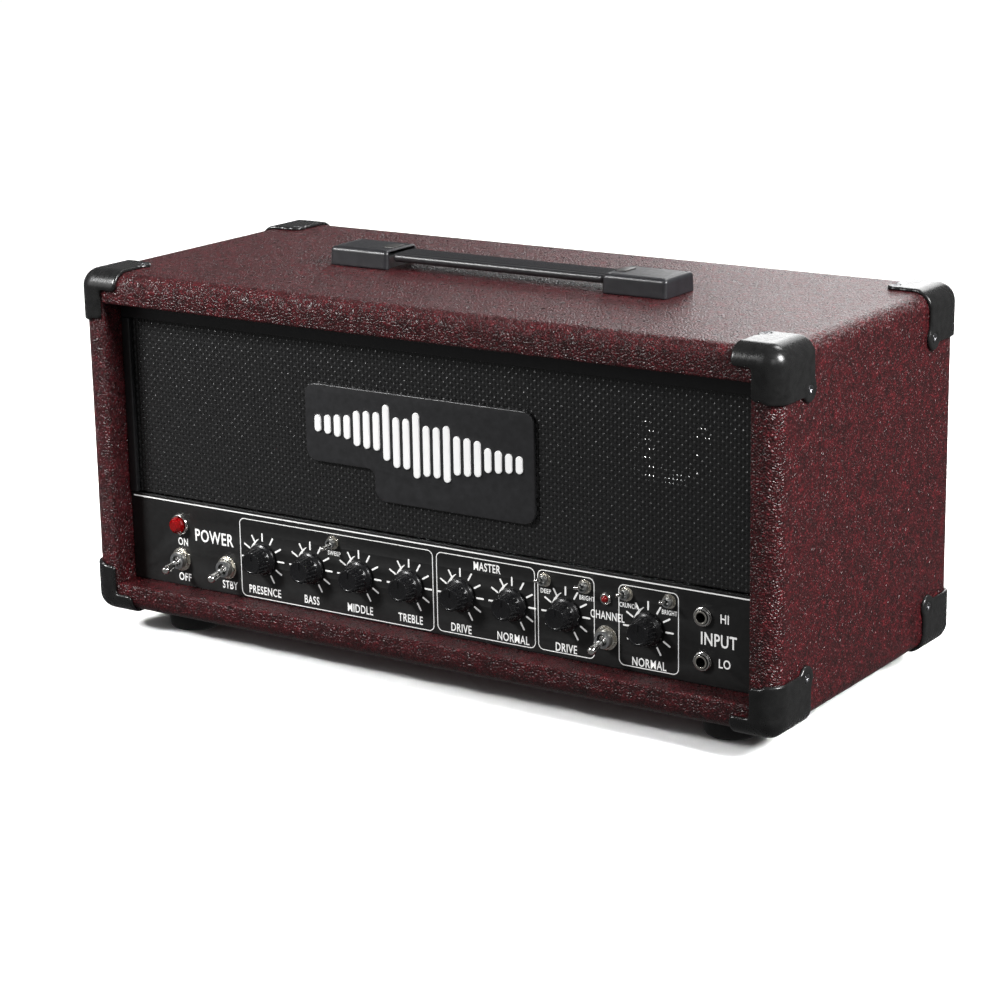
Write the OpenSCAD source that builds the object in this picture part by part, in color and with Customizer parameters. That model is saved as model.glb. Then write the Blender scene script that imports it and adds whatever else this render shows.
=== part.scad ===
// Valve guitar amplifier head: vinyl-covered plywood cabinet, recessed front with
// grille cloth and control panel, steel chassis with valves and transformers inside.
// Frame: X to the right seen from the front, Y to the back, Z up. The origin is on the
// floor under the middle of the cabinet, so the feet stand on Z = 0.

/* [Cabinet] */
// Width over the vinyl covering
cab_w = 570; // [500:5:760]
// Depth over the vinyl covering
cab_d = 256; // [220:2:320]
// Height over the vinyl covering, without feet
cab_h = 252; // [240:2:300]
// Radius of the rounded outer edges
edge_r = 11; // [4:0.5:18]
// Thickness of the side and bottom boards
board_t = 18; // [12:1:22]
// Thickness of the top board
top_t = 20; // [12:1:24]
// Thickness of the vinyl covering
skin_t = 1; // [0.6:0.1:2]
// How far the front panel and the cloth sit behind the front edge
recess = 20; // [10:1:40]

/* [Feet] */
// Height of the rubber feet
foot_h = 18; // [12:1:25]
// Diameter of the rubber feet at the cabinet
foot_d = 40; // [25:1:44]
// Distance of the foot centres from the cabinet sides
foot_in_x = 56; // [56:1:80]
// Distance of the foot centres from the front and back
foot_in_y = 44; // [42:1:90]

/* [Corner protectors] */
// Wall of the moulded corner protectors
guard_t = 2.5; // [1.5:0.5:4]
// Reach of the legs along the cabinet edges at the front
guard_leg = 33; // [25:1:50]
// Reach of the screwed wings along the cabinet depth
guard_wing = 47; // [35:1:70]

/* [Handle] */
// Length of each handle end cap
cap_l = 51; // [40:1:70]
// Width of the end caps across the handle
cap_w = 40; // [30:1:50]
// Height of the end caps
cap_h = 14; // [10:1:25]
// Visible length of the strap between the caps
strap_l = 180; // [140:5:260]
// Width of the strap
strap_w = 29; // [20:1:35]
// Thickness of the strap
strap_t = 6.5; // [4:0.5:12]
// Free height under the strap
strap_gap = 5.2; // [4:0.2:20]

/* [Front panel] */
// Height of the control panel above the cabinet bottom
panel_top = 86; // [70:1:110]
// Thickness of the control panel
panel_t = 2; // [1.5:0.5:4]
// Height of the rotary controls above the cabinet bottom
pot_h = 51.6; // [40:0.1:60]
// Skirt diameter of the knobs
knob_d = 24; // [18:1:32]
// Height of the knobs
knob_h = 14; // [12:0.5:22]
// Height of the small toggle switches above the cabinet bottom
mini_h = 73.3; // [65:0.1:80]
// Height of the large toggle switches above the cabinet bottom
toggle_h = 40.4; // [35:0.1:50]
// Rest angle of the large toggle levers below level
toggle_tilt = 13.5; // [8:0.5:15]
// Rest angle of the small toggle levers from level
mini_tilt = 12; // [8:0.5:13]

/* [Jacks] */
// Bore of the quarter-inch jack sockets
jack_bore_d = 6.6; // [6.4:0.05:7]
// Height of the upper input jack above the cabinet bottom
jack_hi_h = 67; // [60:1:75]
// Height of the lower input jack above the cabinet bottom
jack_lo_h = 36.6; // [30:0.1:45]

/* [Grille] */
// Visible height of the black strip over the cloth
frame_top = 12.5; // [6:0.5:20]
// Visible width of the black strips beside the cloth
frame_side = 7; // [4:0.5:15]
// Thickness of the grille cloth
cloth_t = 1.2; // [0.8:0.1:2]

/* [Hidden] */
hw = cab_w / 2;
hd = cab_d / 2;
zb = foot_h;
zt = foot_h + cab_h;
ix = hw - skin_t - board_t;          // inner face of the side boards
iz0 = zb + skin_t + board_t;         // inner face of the bottom board
iz1 = zt - skin_t - top_t;           // inner face of the top board
yp = -hd + recess;                   // front face of the control panel
yc = yp + panel_t;                   // front face of the chassis
ch_t = 1.5;                          // chassis sheet
ch_x = ix - 4;                       // chassis half width
ch_z0 = iz0;
ch_z1 = zb + panel_top - 1;          // chassis top
yr = hd - 10;                        // back of the chassis and front of the back panel
pz1 = zb + panel_top;
pot_x = [-142.5, -99.3, -56.5, -13.3, 29.8, 72.3, 115.2, 179.3];
mini_x = [-78.8, 98.9, 130.8, 162.9, 195.5];
mini_dir = [1, -1, -1, -1, -1];      // 1 rests down, -1 rests up
toggle_x = [-218.8, -175.8, 147.2];
lamp_x = -218.9;
led_x = 146.9;
lamp_h = 66.8;
led_h = 67.4;
jack_x = 220.6;
rear_jack_x = [-40, -8, 40, 72, 120];
rear_h = 48;
iec_x = -190;
fuse_x = -140;
pivot_y = yp - 2.5;                  // lever pivots, just in front of the panel
mini_pivot_y = yp - 1.8;
strap_z = zt + strap_gap;
foot_x = hw - foot_in_x;
foot_y = hd - foot_in_y;
cap_x0 = strap_l / 2;
vent_w = 236;                        // perforated vent in the back panel
vent_z0 = pz1 + 1;
vent_z1 = zb + 134;
vent_pitch = 8;
vent_cols = 27;
$fn = 48;

// ---------- shared shapes ----------

// Rounded rectangle from corner to corner, in the plane
module rrect(x0, y0, x1, y1, r) {
    translate([x0 + r, y0]) square([x1 - x0 - 2 * r, y1 - y0]);
    translate([x0, y0 + r]) square([x1 - x0, y1 - y0 - 2 * r]);
    for (x = [x0 + r, x1 - r], y = [y0 + r, y1 - r]) translate([x, y]) circle(r);
}

// Box whose twelve edges are rounded, cut from three crossed prisms
module rbox(x0, y0, z0, x1, y1, z1, r) {
    intersection() {
        translate([0, 0, z0]) linear_extrude(z1 - z0) rrect(x0, y0, x1, y1, r);
        translate([0, y1, 0]) rotate([90, 0, 0]) linear_extrude(y1 - y0) rrect(x0, z0, x1, z1, r);
        translate([x0, 0, 0]) rotate([90, 0, 90]) linear_extrude(x1 - x0) rrect(y0, z0, y1, z1, r);
    }
}

// Outside of the bare wooden carcass
module wood_env() {
    rbox(-hw + skin_t, -hd + skin_t, zb + skin_t, hw - skin_t, hd - skin_t, zt - skin_t,
        edge_r - skin_t);
}

// Outside of the covered cabinet
module cab_env(g = 0) {
    rbox(-hw - g, -hd - g, zb - g, hw + g, hd + g, zt + g, edge_r + g);
}

// Axis towards the front, starting at the given height above the cabinet bottom
module at_panel(x, h, y = yp) {
    translate([x, y, zb + h]) rotate([90, 0, 0]) children();
}

// Axis towards the back
module at_rear(x, h, y) {
    translate([x, y, zb + h]) rotate([-90, 0, 0]) children();
}

module tube(r_out, r_in, l) {
    difference() {
        cylinder(r = r_out, h = l);
        translate([0, 0, -1]) cylinder(r = r_in, h = l + 2);
    }
}

// One child per cabinet corner on the front (s = -1) or the back (s = 1)
module each_corner(s) {
    for (mx = [-1, 1], mz = [0, 1])
        translate([mx * hw, s * hd, mz == 1 ? zt : zb])
            mirror([mx < 0 ? 1 : 0, 0, 0]) mirror([0, s < 0 ? 1 : 0, 0]) mirror([0, 0, mz == 0 ? 1 : 0])
                children();
}

// Screw positions on one corner, in corner coordinates (cabinet lies towards minus)
module corner_screw_axes() {
    // on the top or bottom wing
    translate([-29, -36, 0]) children();
    // on the side wing
    translate([0, -38, -31]) rotate([0, 90, 0]) children();
}

module corner_block(g) {
    rbox(-80, -80, -80, g, g, g, edge_r + g);
}

// Moulded corner protector with an L-shaped face and two screwed wings
module corner_guard() {
    difference() {
        intersection() {
            corner_block(guard_t);
            union() {
                translate([-guard_leg, -10, -12]) cube([guard_leg + 5, 20, 20]);
                translate([-19, -10, -guard_leg]) cube([30, 20, guard_leg + 5]);
                translate([-guard_leg, -29, -9.5]) cube([guard_leg + 5, 40, 20]);
                translate([-21, -guard_wing + 3, -9.5]) cube([30, 50, 20]);
                translate([-26, -36, -9.5]) cylinder(r = 8, h = 20);
                translate([-9.5, -guard_wing + 3, -25]) cube([20, 50, 35]);
                translate([-9.5, -30, -35]) cube([20, 40, 40]);
                translate([-9.5, -38, -31]) rotate([0, 90, 0]) cylinder(r = 8.5, h = 20);
            }
        }
        corner_block(0);
        corner_screw_axes() translate([0, 0, -3]) cylinder(r = 1.9, h = 8);
        corner_screw_axes() translate([0, 0, guard_t - 1.4]) cylinder(r1 = 1.9, r2 = 4.2, h = 2);
    }
}

module corner_screw() {
    translate([0, 0, guard_t - 1.35]) cylinder(r1 = 1.8, r2 = 3.3, h = 1.3);
    translate([0, 0, -13]) cylinder(r = 1.8, h = 13 + guard_t - 1.3);
}

module all_screw_holes() {
    for (s = [-1, 1]) each_corner(s) corner_screw_axes()
        translate([0, 0, -13.5]) cylinder(r = 1.9, h = 20);
}

module foot_sites() {
    for (x = [-foot_x, foot_x], y = [-foot_y, foot_y]) translate([x, y, 0]) children();
}

module handle_bolt_sites() {
    for (s = [-1, 1]) translate([s * (cap_x0 + 27), 0, 0]) children();
}

module chassis_bolt_sites() {
    for (x = [-200, 200], y = [-60, 70]) translate([x, y, 0]) children();
}

module back_screw_sites() {
    for (x = [-259, 259], h = [100, 160, 220]) at_rear(x, h, yr) children();
    for (x = [-120, 120]) at_rear(x, 225, yr) children();
}

module vent_screw_sites() {
    for (x = [-vent_w / 2 - 6, vent_w / 2 + 6], z = [vent_z0 + 8, vent_z1 - 2])
        translate([x, yr, z]) rotate([-90, 0, 0]) children();
    for (x = [-70, 70]) translate([x, yr, vent_z1 + 5]) rotate([-90, 0, 0]) children();
}

// ---------- wooden cabinet ----------

module top_board() color("BurlyWood") difference() {
    intersection() {
        wood_env();
        translate([-hw, -hd, iz1]) cube([cab_w, cab_d, 60]);
    }
    all_screw_holes();
    handle_bolt_sites() translate([0, 0, iz1 - 1]) cylinder(r = 3.2, h = 40);
}

module bottom_board() color("BurlyWood") difference() {
    intersection() {
        wood_env();
        translate([-hw, -hd, iz0 - 60]) cube([cab_w, cab_d, 60]);
    }
    all_screw_holes();
    foot_sites() translate([0, 0, zb - 1]) cylinder(r = 2.5, h = 14);
    chassis_bolt_sites() {
        translate([0, 0, zb - 1]) cylinder(r = 2.6, h = 30);
        translate([0, 0, zb - 1]) cylinder(r = 7, h = 6);
    }
}

module side_board(s) difference() {
    intersection() {
        wood_env();
        translate([s > 0 ? ix : -ix - 60, -hd, iz0]) cube([60, cab_d, iz1 - iz0]);
    }
    all_screw_holes();
}

module left_side_board() color("BurlyWood") side_board(-1);
module right_side_board() color("BurlyWood") side_board(1);

// Vinyl over every outer face, turned round the front and back edges into the cabinet
module vinyl_covering() color([0.36, 0.10, 0.13]) difference() {
    cab_env();
    difference() {
        wood_env();
        for (s = [-1, 1])
            translate([-ix, s < 0 ? -hd - 1 : hd - 8, iz0])
                cube([2 * ix, s < 0 ? recess + panel_t + 1 : 9, iz1 - iz0]);
    }
    translate([-ix + skin_t, -hd - 1, iz0 + skin_t])
        cube([2 * ix - 2 * skin_t, cab_d + 2, iz1 - iz0 - 2 * skin_t]);
    translate([-ix - 0.01, yc, iz0 - 0.01]) cube([2 * ix + 0.02, hd - 8 - yc, iz1 - iz0 + 0.02]);
    all_screw_holes();
    foot_sites() translate([0, 0, zb - 1]) cylinder(r = 2.5, h = 4);
    handle_bolt_sites() translate([0, 0, zt - 3]) cylinder(r = 3.2, h = 5);
    chassis_bolt_sites() translate([0, 0, zb - 1]) cylinder(r = 7, h = 3);
}

// Cleats that the baffle and the back panel are screwed to
module battens() color("Peru") {
    difference() {
        for (s = [-1, 1]) {
            translate([s > 0 ? ix - 12 : -ix, yc + 11.2, pz1 + 1]) cube([12, 12, iz1 - pz1 - 2]);
            translate([s > 0 ? ix - 12 : -ix, yr - 12, pz1 + 1]) cube([12, 12, iz1 - pz1 - 2]);
        }
        back_screw_sites() translate([0, 0, -11]) cylinder(r = 1.9, h = 12);
    }
    difference() {
        translate([-ix + 14, yr - 12, iz1 - 12]) cube([2 * ix - 28, 12, 12]);
        back_screw_sites() translate([0, 0, -11]) cylinder(r = 1.9, h = 12);
    }
}

// ---------- corners and feet ----------

module front_corners() color([0.06, 0.06, 0.06]) each_corner(-1) corner_guard();
module rear_corners() color([0.06, 0.06, 0.06]) each_corner(1) corner_guard();
module corner_screws() color([0.25, 0.25, 0.26]) for (s = [-1, 1]) each_corner(s)
    corner_screw_axes() corner_screw();

module rubber_feet() color([0.05, 0.05, 0.05]) foot_sites() difference() {
    union() {
        translate([0, 0, 2]) cylinder(r1 = foot_d / 2 - 1.2, r2 = foot_d / 2, h = foot_h - 2);
        cylinder(r1 = foot_d / 2 - 3, r2 = foot_d / 2 - 1.2, h = 2);
    }
    translate([0, 0, -1]) cylinder(r = 7, h = foot_h - 5);
    translate([0, 0, -1]) cylinder(r = 2.5, h = foot_h + 2);
}

// Foot screws, and the bolts that hold the chassis to the bottom board
module base_fasteners() color("Silver") {
    foot_sites() {
        translate([0, 0, foot_h - 8.6]) cylinder(r = 4.6, h = 2.6);
        translate([0, 0, foot_h - 6.1]) cylinder(r = 2.4, h = 18);
    }
    chassis_bolt_sites() {
        translate([0, 0, zb + 1.6]) cylinder(r = 4.6, h = 3.4);
        translate([0, 0, zb + 4.9]) cylinder(r = 2.5, h = iz0 - zb + 0.6);
        translate([0, 0, ch_z0 + ch_t]) hex_nut(8, 2.55, 4);
    }
}

// ---------- handle ----------

module handle_caps() color([0.09, 0.09, 0.09]) for (s = [-1, 1]) mirror([s < 0 ? 1 : 0, 0, 0]) {
    difference() {
        intersection() {
            rbox(cap_x0, -cap_w / 2, zt - 20, cap_x0 + cap_l, cap_w / 2, zt + cap_h, 4);
            translate([cap_x0, -50, zt]) cube([100, 100, 60]);
        }
        translate([cap_x0 - 1, -strap_w / 2 - 1.5, zt - 1])
            cube([cap_l - 4, strap_w + 3, cap_h - 1.5]);
    }
    translate([cap_x0 + 3, -7, zt + cap_h - 0.5]) cube([9, 14, 1.2]);
}

module strap_section() {
    rrect(-strap_w / 2, 0, strap_w / 2, strap_t, 2.6);
}

module handle_strap() color([0.07, 0.07, 0.07])
    translate([-strap_l / 2 + 2, 0, strap_z]) rotate([90, 0, 90]) linear_extrude(strap_l - 4)
        strap_section();

module handle_anchors() color([0.3, 0.3, 0.32]) for (s = [-1, 1]) mirror([s < 0 ? 1 : 0, 0, 0])
    difference() {
        translate([cap_x0 + 4, -strap_w / 2, zt]) cube([cap_l - 14, strap_w, 8]);
        translate([cap_x0 + 27, 0, zt - 1]) cylinder(r = 3.1, h = 12);
    }

module handle_bolts() color("Silver") handle_bolt_sites() {
    translate([0, 0, zt + 8]) cylinder(r = 6, h = 3);
    translate([0, 0, iz1 - 8]) cylinder(r = 3, h = zt + 8 - iz1 + 8.1);
    translate([0, 0, iz1 - 1.6]) tube(8, 3.05, 1.6);
    translate([0, 0, iz1 - 6.8]) difference() {
        cylinder(r = 5.8, h = 5, $fn = 6);
        translate([0, 0, -1]) cylinder(r = 3.05, h = 8);
    }
}

// ---------- recessed front ----------

module baffle_board() color([0.12, 0.10, 0.09]) difference() {
    translate([-ix + 2, yc + 2, pz1 + 1]) cube([2 * ix - 4, 9, iz1 - pz1 - 2.2]);
    // cooling windows behind the cloth
    for (s = [-1, 1]) translate([s * 189, yc, 0]) rotate([90, 0, 0]) translate([0, 0, -20])
        linear_extrude(30) rrect(-36, zb + 148, 36, zb + 198, 20);
}

module grille_cloth() color([0.10, 0.10, 0.10])
    translate([-ix + 1.6, yc + 2 - cloth_t, pz1 + 0.4]) cube([2 * ix - 3.2, cloth_t, iz1 - pz1 - 1.8]);

// Black strips that hold the edge of the cloth
module grille_frame() color([0.05, 0.05, 0.05]) {
    t = 4.2;
    y0 = yc + 2 - cloth_t - t;
    z1 = iz1 - skin_t - 0.3;
    translate([-ix + skin_t + 0.3, y0, z1 - frame_top]) cube([2 * (ix - skin_t - 0.3), t, frame_top]);
    for (s = [-1, 1]) mirror([s < 0 ? 1 : 0, 0, 0])
        translate([ix - skin_t - 0.3 - frame_side, y0, pz1 + 0.4])
            cube([frame_side, t, z1 - frame_top - 0.1 - pz1 - 0.4]);
}

module badge_outline() {
    rrect(-99, zb + 131, 92, zb + 187, 9);
    rrect(-40, zb + 109, 92, zb + 147, 9);
}

module badge_plate() color([0.45, 0.45, 0.46])
    translate([0, yc + 2 - cloth_t, 0]) rotate([90, 0, 0]) linear_extrude(3) badge_outline();

// Raised bars in the pattern of a sound wave
module badge_emblem() color([0.92, 0.92, 0.90])
    translate([0, yc + 2 - cloth_t - 3, 0]) rotate([90, 0, 0]) linear_extrude(1.4)
        for (i = [-10 : 10]) let (
            x = -3.5 + i * 8.4,
            a = 6 + 17 * pow(cos(i * 8.6), 2) * (0.45 + 0.55 * abs(cos(i * 62))),
            c = zb + (i > -3 ? 153 - (i > 0 ? 3 : 0) : 159)
        ) rrect(x - 2.6, c - a, x + 2.6, c + a, 2.5);

// ---------- control panel ----------

module panel_holes(extra = 0) {
    for (x = pot_x) at_panel(x, pot_h, yc + 30) cylinder(r = 4.8 + extra, h = 60);
    for (x = toggle_x) at_panel(x, toggle_h, yc + 30) cylinder(r = 6 + extra, h = 60);
    for (x = mini_x) at_panel(x, mini_h, yc + 30) cylinder(r = 3.15 + extra, h = 60);
    for (h = [jack_hi_h, jack_lo_h]) at_panel(jack_x, h, yc + 30) cylinder(r = 4.8 + extra, h = 60);
    at_panel(lamp_x, lamp_h, yc + 30) cylinder(r = 6 + extra, h = 60);
    at_panel(led_x, led_h, yc + 30) cylinder(r = 3 + extra, h = 60);
}

module front_panel() color([0.07, 0.07, 0.07]) difference() {
    translate([-ix + skin_t + 0.4, yp, iz0 + skin_t + 0.3])
        cube([2 * (ix - skin_t - 0.4), panel_t, pz1 - iz0 - skin_t - 0.3]);
    panel_holes();
}

// Folded steel tray, open underneath, with feet turned in along the bottom
module chassis() color([0.62, 0.63, 0.65]) difference() {
    translate([-ch_x, yc, ch_z0]) cube([2 * ch_x, yr - yc, ch_z1 - ch_z0]);
    translate([-ch_x + ch_t, yc + ch_t, ch_z0 + ch_t])
        cube([2 * (ch_x - ch_t), yr - yc - 2 * ch_t, ch_z1 - ch_z0 - 2 * ch_t]);
    translate([-ch_x + 80, yc + 30, ch_z0 - 1]) cube([2 * ch_x - 160, yr - yc - 60, 4]);
    panel_holes(0.2);
    rear_holes(0.2);
    chassis_bolt_sites() translate([0, 0, ch_z0 - 1]) cylinder(r = 2.6, h = 4);
    for (p = power_tube_sites()) translate([p[0], p[1], ch_z1 - 4]) cylinder(r = 14.2, h = 6);
    for (p = preamp_tube_sites()) translate([p[0], p[1], ch_z1 - 4]) cylinder(r = 9.2, h = 6);
}

function power_tube_sites() = [[-30, 60], [14, 60], [58, 60], [102, 60]];
function preamp_tube_sites() = [[-110, -40], [-40, -40], [30, -40], [100, -40]];

module rear_holes(extra = 0) {
    for (x = rear_jack_x) at_rear(x, rear_h, yr - 20) cylinder(r = 4.8 + extra, h = 40);
    at_rear(fuse_x, rear_h, yr - 20) cylinder(r = 6 + extra, h = 40);
    translate([iec_x - 13.9 - extra, yr - 20, zb + rear_h - 10.4 - extra])
        cube([27.8 + 2 * extra, 40, 20.8 + 2 * extra]);
}

module rear_plate() color([0.08, 0.08, 0.08]) difference() {
    translate([-ix + skin_t + 0.6, yr, iz0 + skin_t + 0.3])
        cube([2 * (ix - skin_t - 0.6), 2, pz1 - iz0 - skin_t - 0.8]);
    rear_holes();
}

module pot_bodies() color([0.7, 0.7, 0.7]) for (x = pot_x) at_panel(x, pot_h, yc + ch_t) difference() {
    union() {
        translate([0, 0, -10]) cylinder(r = 12, h = 10);
        cylinder(r = 4.7, h = 7.2);
        translate([-8, 11, -4]) cube([16, 6, 2]);
    }
    translate([0, 0, -8]) cylinder(r = 3.225, h = 20);
}

module hex_nut(af, bore_r, h) difference() {
    cylinder(r = af / 2 / cos(30), h = h, $fn = 6);
    translate([0, 0, -1]) cylinder(r = bore_r, h = h + 2);
}

// Hex nuts of the rotary controls and of every toggle switch
module panel_nuts() color([0.8, 0.8, 0.8]) {
    for (x = pot_x) at_panel(x, pot_h) hex_nut(12.7, 4.8, 2.2);
    for (x = toggle_x) at_panel(x, toggle_h) {
        tube(8.6, 6, 0.8);
        translate([0, 0, 0.9]) hex_nut(14, 6, 2.4);
    }
    for (x = mini_x) at_panel(x, mini_h) {
        tube(5, 3.15, 0.5);
        translate([0, 0, 0.6]) hex_nut(8, 3.15, 1.8);
    }
}

module toggle_bodies() color([0.72, 0.72, 0.74]) for (x = toggle_x) at_panel(x, toggle_h, yc + ch_t)
    difference() {
        union() {
            cylinder(r = 5.9, h = panel_t + ch_t + 6.4);
            translate([-7, -14, -19]) cube([14, 28, 19]);
            for (z = [-9, 0, 9]) translate([-2, z - 1, -25]) cube([4, 1, 6.2]);
        }
        translate([0, 0, -8]) cylinder(r = 4.05, h = 30);
    }

module mini_toggle_bodies() color([0.72, 0.72, 0.74]) for (x = mini_x) at_panel(x, mini_h, yc + ch_t)
    difference() {
        union() {
            cylinder(r = 3.1, h = panel_t + ch_t + 5);
            translate([-4, -6.5, -10]) cube([8, 13, 10]);
            for (z = [-4.5, 0, 4.5]) translate([-1, z - 0.5, -14]) cube([2, 1, 4.2]);
        }
        translate([0, 0, -5]) cylinder(r = 2.35, h = 30);
    }

// Enclosed quarter-inch jack with a through thread and a plug bore
module jack_socket() difference() {
    union() {
        cylinder(r = 4.75, h = 7);
        translate([-10, -10, -26]) cube([20, 20, 26]);
    }
    translate([0, 0, -24]) cylinder(d = jack_bore_d, h = 40);
}

module jack_bodies() color([0.10, 0.10, 0.10]) {
    for (h = [jack_hi_h, jack_lo_h]) at_panel(jack_x, h, yc + ch_t) jack_socket();
    for (x = rear_jack_x) at_rear(x, rear_h, yr - ch_t) jack_socket();
}

module jack_nut() difference() {
    union() {
        cylinder(r = 6.6, h = 1);
        cylinder(r = 6.3, h = 2.6);
    }
    translate([0, 0, -1]) cylinder(r = 4.8, h = 5);
}

module jack_nuts() color([0.8, 0.8, 0.8]) {
    for (h = [jack_hi_h, jack_lo_h]) at_panel(jack_x, h) jack_nut();
    for (x = rear_jack_x) at_rear(x, rear_h, yr + 2) jack_nut();
}

module lamp_bezels() color([0.85, 0.85, 0.85]) {
    at_panel(lamp_x, lamp_h) {
        tube(8, 5.9, 2.4);
        translate([0, 0, -26]) tube(5.95, 5.2, 26);
    }
    at_panel(led_x, led_h) {
        tube(4.3, 2.55, 1.8);
        translate([0, 0, -8]) tube(2.95, 2.55, 8);
    }
}

module pilot_jewel() color([0.85, 0.05, 0.05]) at_panel(lamp_x, lamp_h) difference() {
    union() {
        translate([0, 0, -16]) cylinder(r = 5.15, h = 19);
        translate([0, 0, 3]) cylinder(r1 = 6.4, r2 = 6.4, h = 1.6);
        translate([0, 0, 4.6]) cylinder(r1 = 6.4, r2 = 3.4, h = 3.6);
    }
    translate([0, 0, -17]) cylinder(r = 4, h = 16);
}

module channel_led() color([0.9, 0.2, 0.15]) at_panel(led_x, led_h) {
    translate([0, 0, -6]) cylinder(r = 2.5, h = 7.6);
    translate([0, 0, 1.6]) intersection() {
        sphere(r = 2.5);
        cylinder(r = 3, h = 3);
    }
}

// ---------- inside ----------

module transformer(w, d, h) {
    // laminated core between two pressed end bells
    translate([-w / 2, -d / 2, 3]) cube([w, d, h * 0.8]);
    difference() {
        translate([-w * 0.34, -d / 2 - 16, h * 0.2]) cube([w * 0.68, d + 32, h * 0.5]);
        translate([-w / 2 - 1, -d / 2, 2]) cube([w + 2, d, h]);
    }
    for (x = [-w / 2, w / 2 - 14], y = [-d / 2, d / 2 - 14]) translate([x, y, 0]) cube([14, 14, 3.1]);
}

module power_transformer() color([0.16, 0.16, 0.17]) translate([-202, 30, ch_z1])
    transformer(96, 60, 88);
module output_transformer() color([0.16, 0.16, 0.17]) translate([196, 30, ch_z1])
    transformer(84, 52, 76);

module power_tubes() color([0.85, 0.88, 0.9, 0.6]) for (p = power_tube_sites())
    translate([p[0], p[1], ch_z1 + 3.6]) {
        cylinder(r = 16.5, h = 14);
        translate([0, 0, 14]) cylinder(r = 14.5, h = 66);
        translate([0, 0, 80]) cylinder(r1 = 14.5, r2 = 6, h = 8);
    }

module preamp_tubes() color([0.85, 0.88, 0.9, 0.6]) for (p = preamp_tube_sites())
    translate([p[0], p[1], ch_z1 + 3.6]) {
        cylinder(r = 10, h = 44);
        translate([0, 0, 44]) cylinder(r1 = 10, r2 = 2.5, h = 6);
    }

module tube_sockets() color([0.93, 0.92, 0.88]) {
    for (p = power_tube_sites()) translate([p[0], p[1], ch_z1]) {
        translate([0, 0, -12]) cylinder(r = 14, h = 12.1);
        cylinder(r = 17, h = 3.5);
    }
    for (p = preamp_tube_sites()) translate([p[0], p[1], ch_z1]) {
        translate([0, 0, -10]) cylinder(r = 9, h = 10.1);
        cylinder(r = 12, h = 3.5);
    }
}

module filter_capacitors() color([0.2, 0.3, 0.55]) for (x = [-128, -88]) translate([x, 60, ch_z1]) {
    cylinder(r = 17.5, h = 50);
    translate([0, 0, 50]) cylinder(r = 16, h = 1.5);
}

// Board on pillars under the chassis top, with its larger parts
module circuit_board() color([0.10, 0.35, 0.16]) {
    translate([-170, -58, ch_z0 + 22]) cube([330, 84, 1.6]);
    for (x = [-160, 150], y = [-50, 18]) translate([x, y, ch_z0 + 1.5]) cylinder(r = 3, h = 20.6);
    for (i = [0 : 9]) translate([-150 + i * 32, -20, ch_z0 + 23.6]) cube([18, 9, 8]);
    for (i = [0 : 6]) translate([-140 + i * 44, 10, ch_z0 + 23.6]) cylinder(r = 6, h = 12);
}

// ---------- back ----------

module back_panel() color([0.08, 0.08, 0.08]) difference() {
    translate([-ix + skin_t + 0.5, yr, pz1 + 0.5])
        cube([2 * (ix - skin_t - 0.5), 5, iz1 - skin_t - pz1 - 1]);
    // notch for the vent, open at the lower edge
    translate([-vent_w / 2, yr - 1, pz1 - 2]) cube([vent_w, 10, vent_z1 - pz1 + 2]);
    back_screw_sites() translate([0, 0, -1]) cylinder(r = 1.9, h = 12);
    vent_screw_sites() translate([0, 0, -1]) cylinder(r = 1.5, h = 12);
}

// Perforated steel sheet over the vent opening, with staggered rows of round holes
module vent_grille() color([0.15, 0.15, 0.15]) difference() {
    translate([-vent_w / 2 - 12, yr + 5, vent_z0]) cube([vent_w + 24, 1.5, vent_z1 - vent_z0 + 10]);
    for (j = [0 : 5], i = [0 : vent_cols - (j % 2)])
        translate([(i - vent_cols / 2 + (j % 2) / 2) * vent_pitch, yr + 4, vent_z0 + 6 + j * 6.93])
            rotate([-90, 0, 0]) cylinder(d = 5, h = 4, $fn = 24);
    vent_screw_sites() translate([0, 0, -1]) cylinder(r = 1.5, h = 12);
}

module back_panel_screws() color("Silver") {
    back_screw_sites() {
        translate([0, 0, 5]) cylinder(r = 4, h = 1.8);
        translate([0, 0, -10]) cylinder(r = 1.8, h = 15.1);
    }
    vent_screw_sites() {
        translate([0, 0, 6.5]) cylinder(r = 3, h = 1.3);
        translate([0, 0, 0.4]) cylinder(r = 1.4, h = 6.2);
    }
}

module iec_inlet() color([0.08, 0.08, 0.08]) translate([iec_x, yr, zb + rear_h]) difference() {
    union() {
        translate([-24, 2, -13.5]) cube([48, 3, 27]);
        translate([-13.6, -20, -10.1]) cube([27.2, 23, 20.2]);
    }
    translate([-12, -16, -8]) cube([24, 30, 16]);
    for (x = [-20, 20]) translate([x, 0, 0]) rotate([-90, 0, 0]) cylinder(r = 1.7, h = 12);
}

module fuse_holder() color([0.07, 0.07, 0.07]) at_rear(fuse_x, rear_h, yr + 2) {
    translate([0, 0, -34]) cylinder(r = 5.9, h = 34);
    cylinder(r = 8, h = 2.5);
    translate([0, 0, 2.5]) cylinder(r = 6.5, h = 5);
}

// ---------- moving pieces ----------

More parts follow.
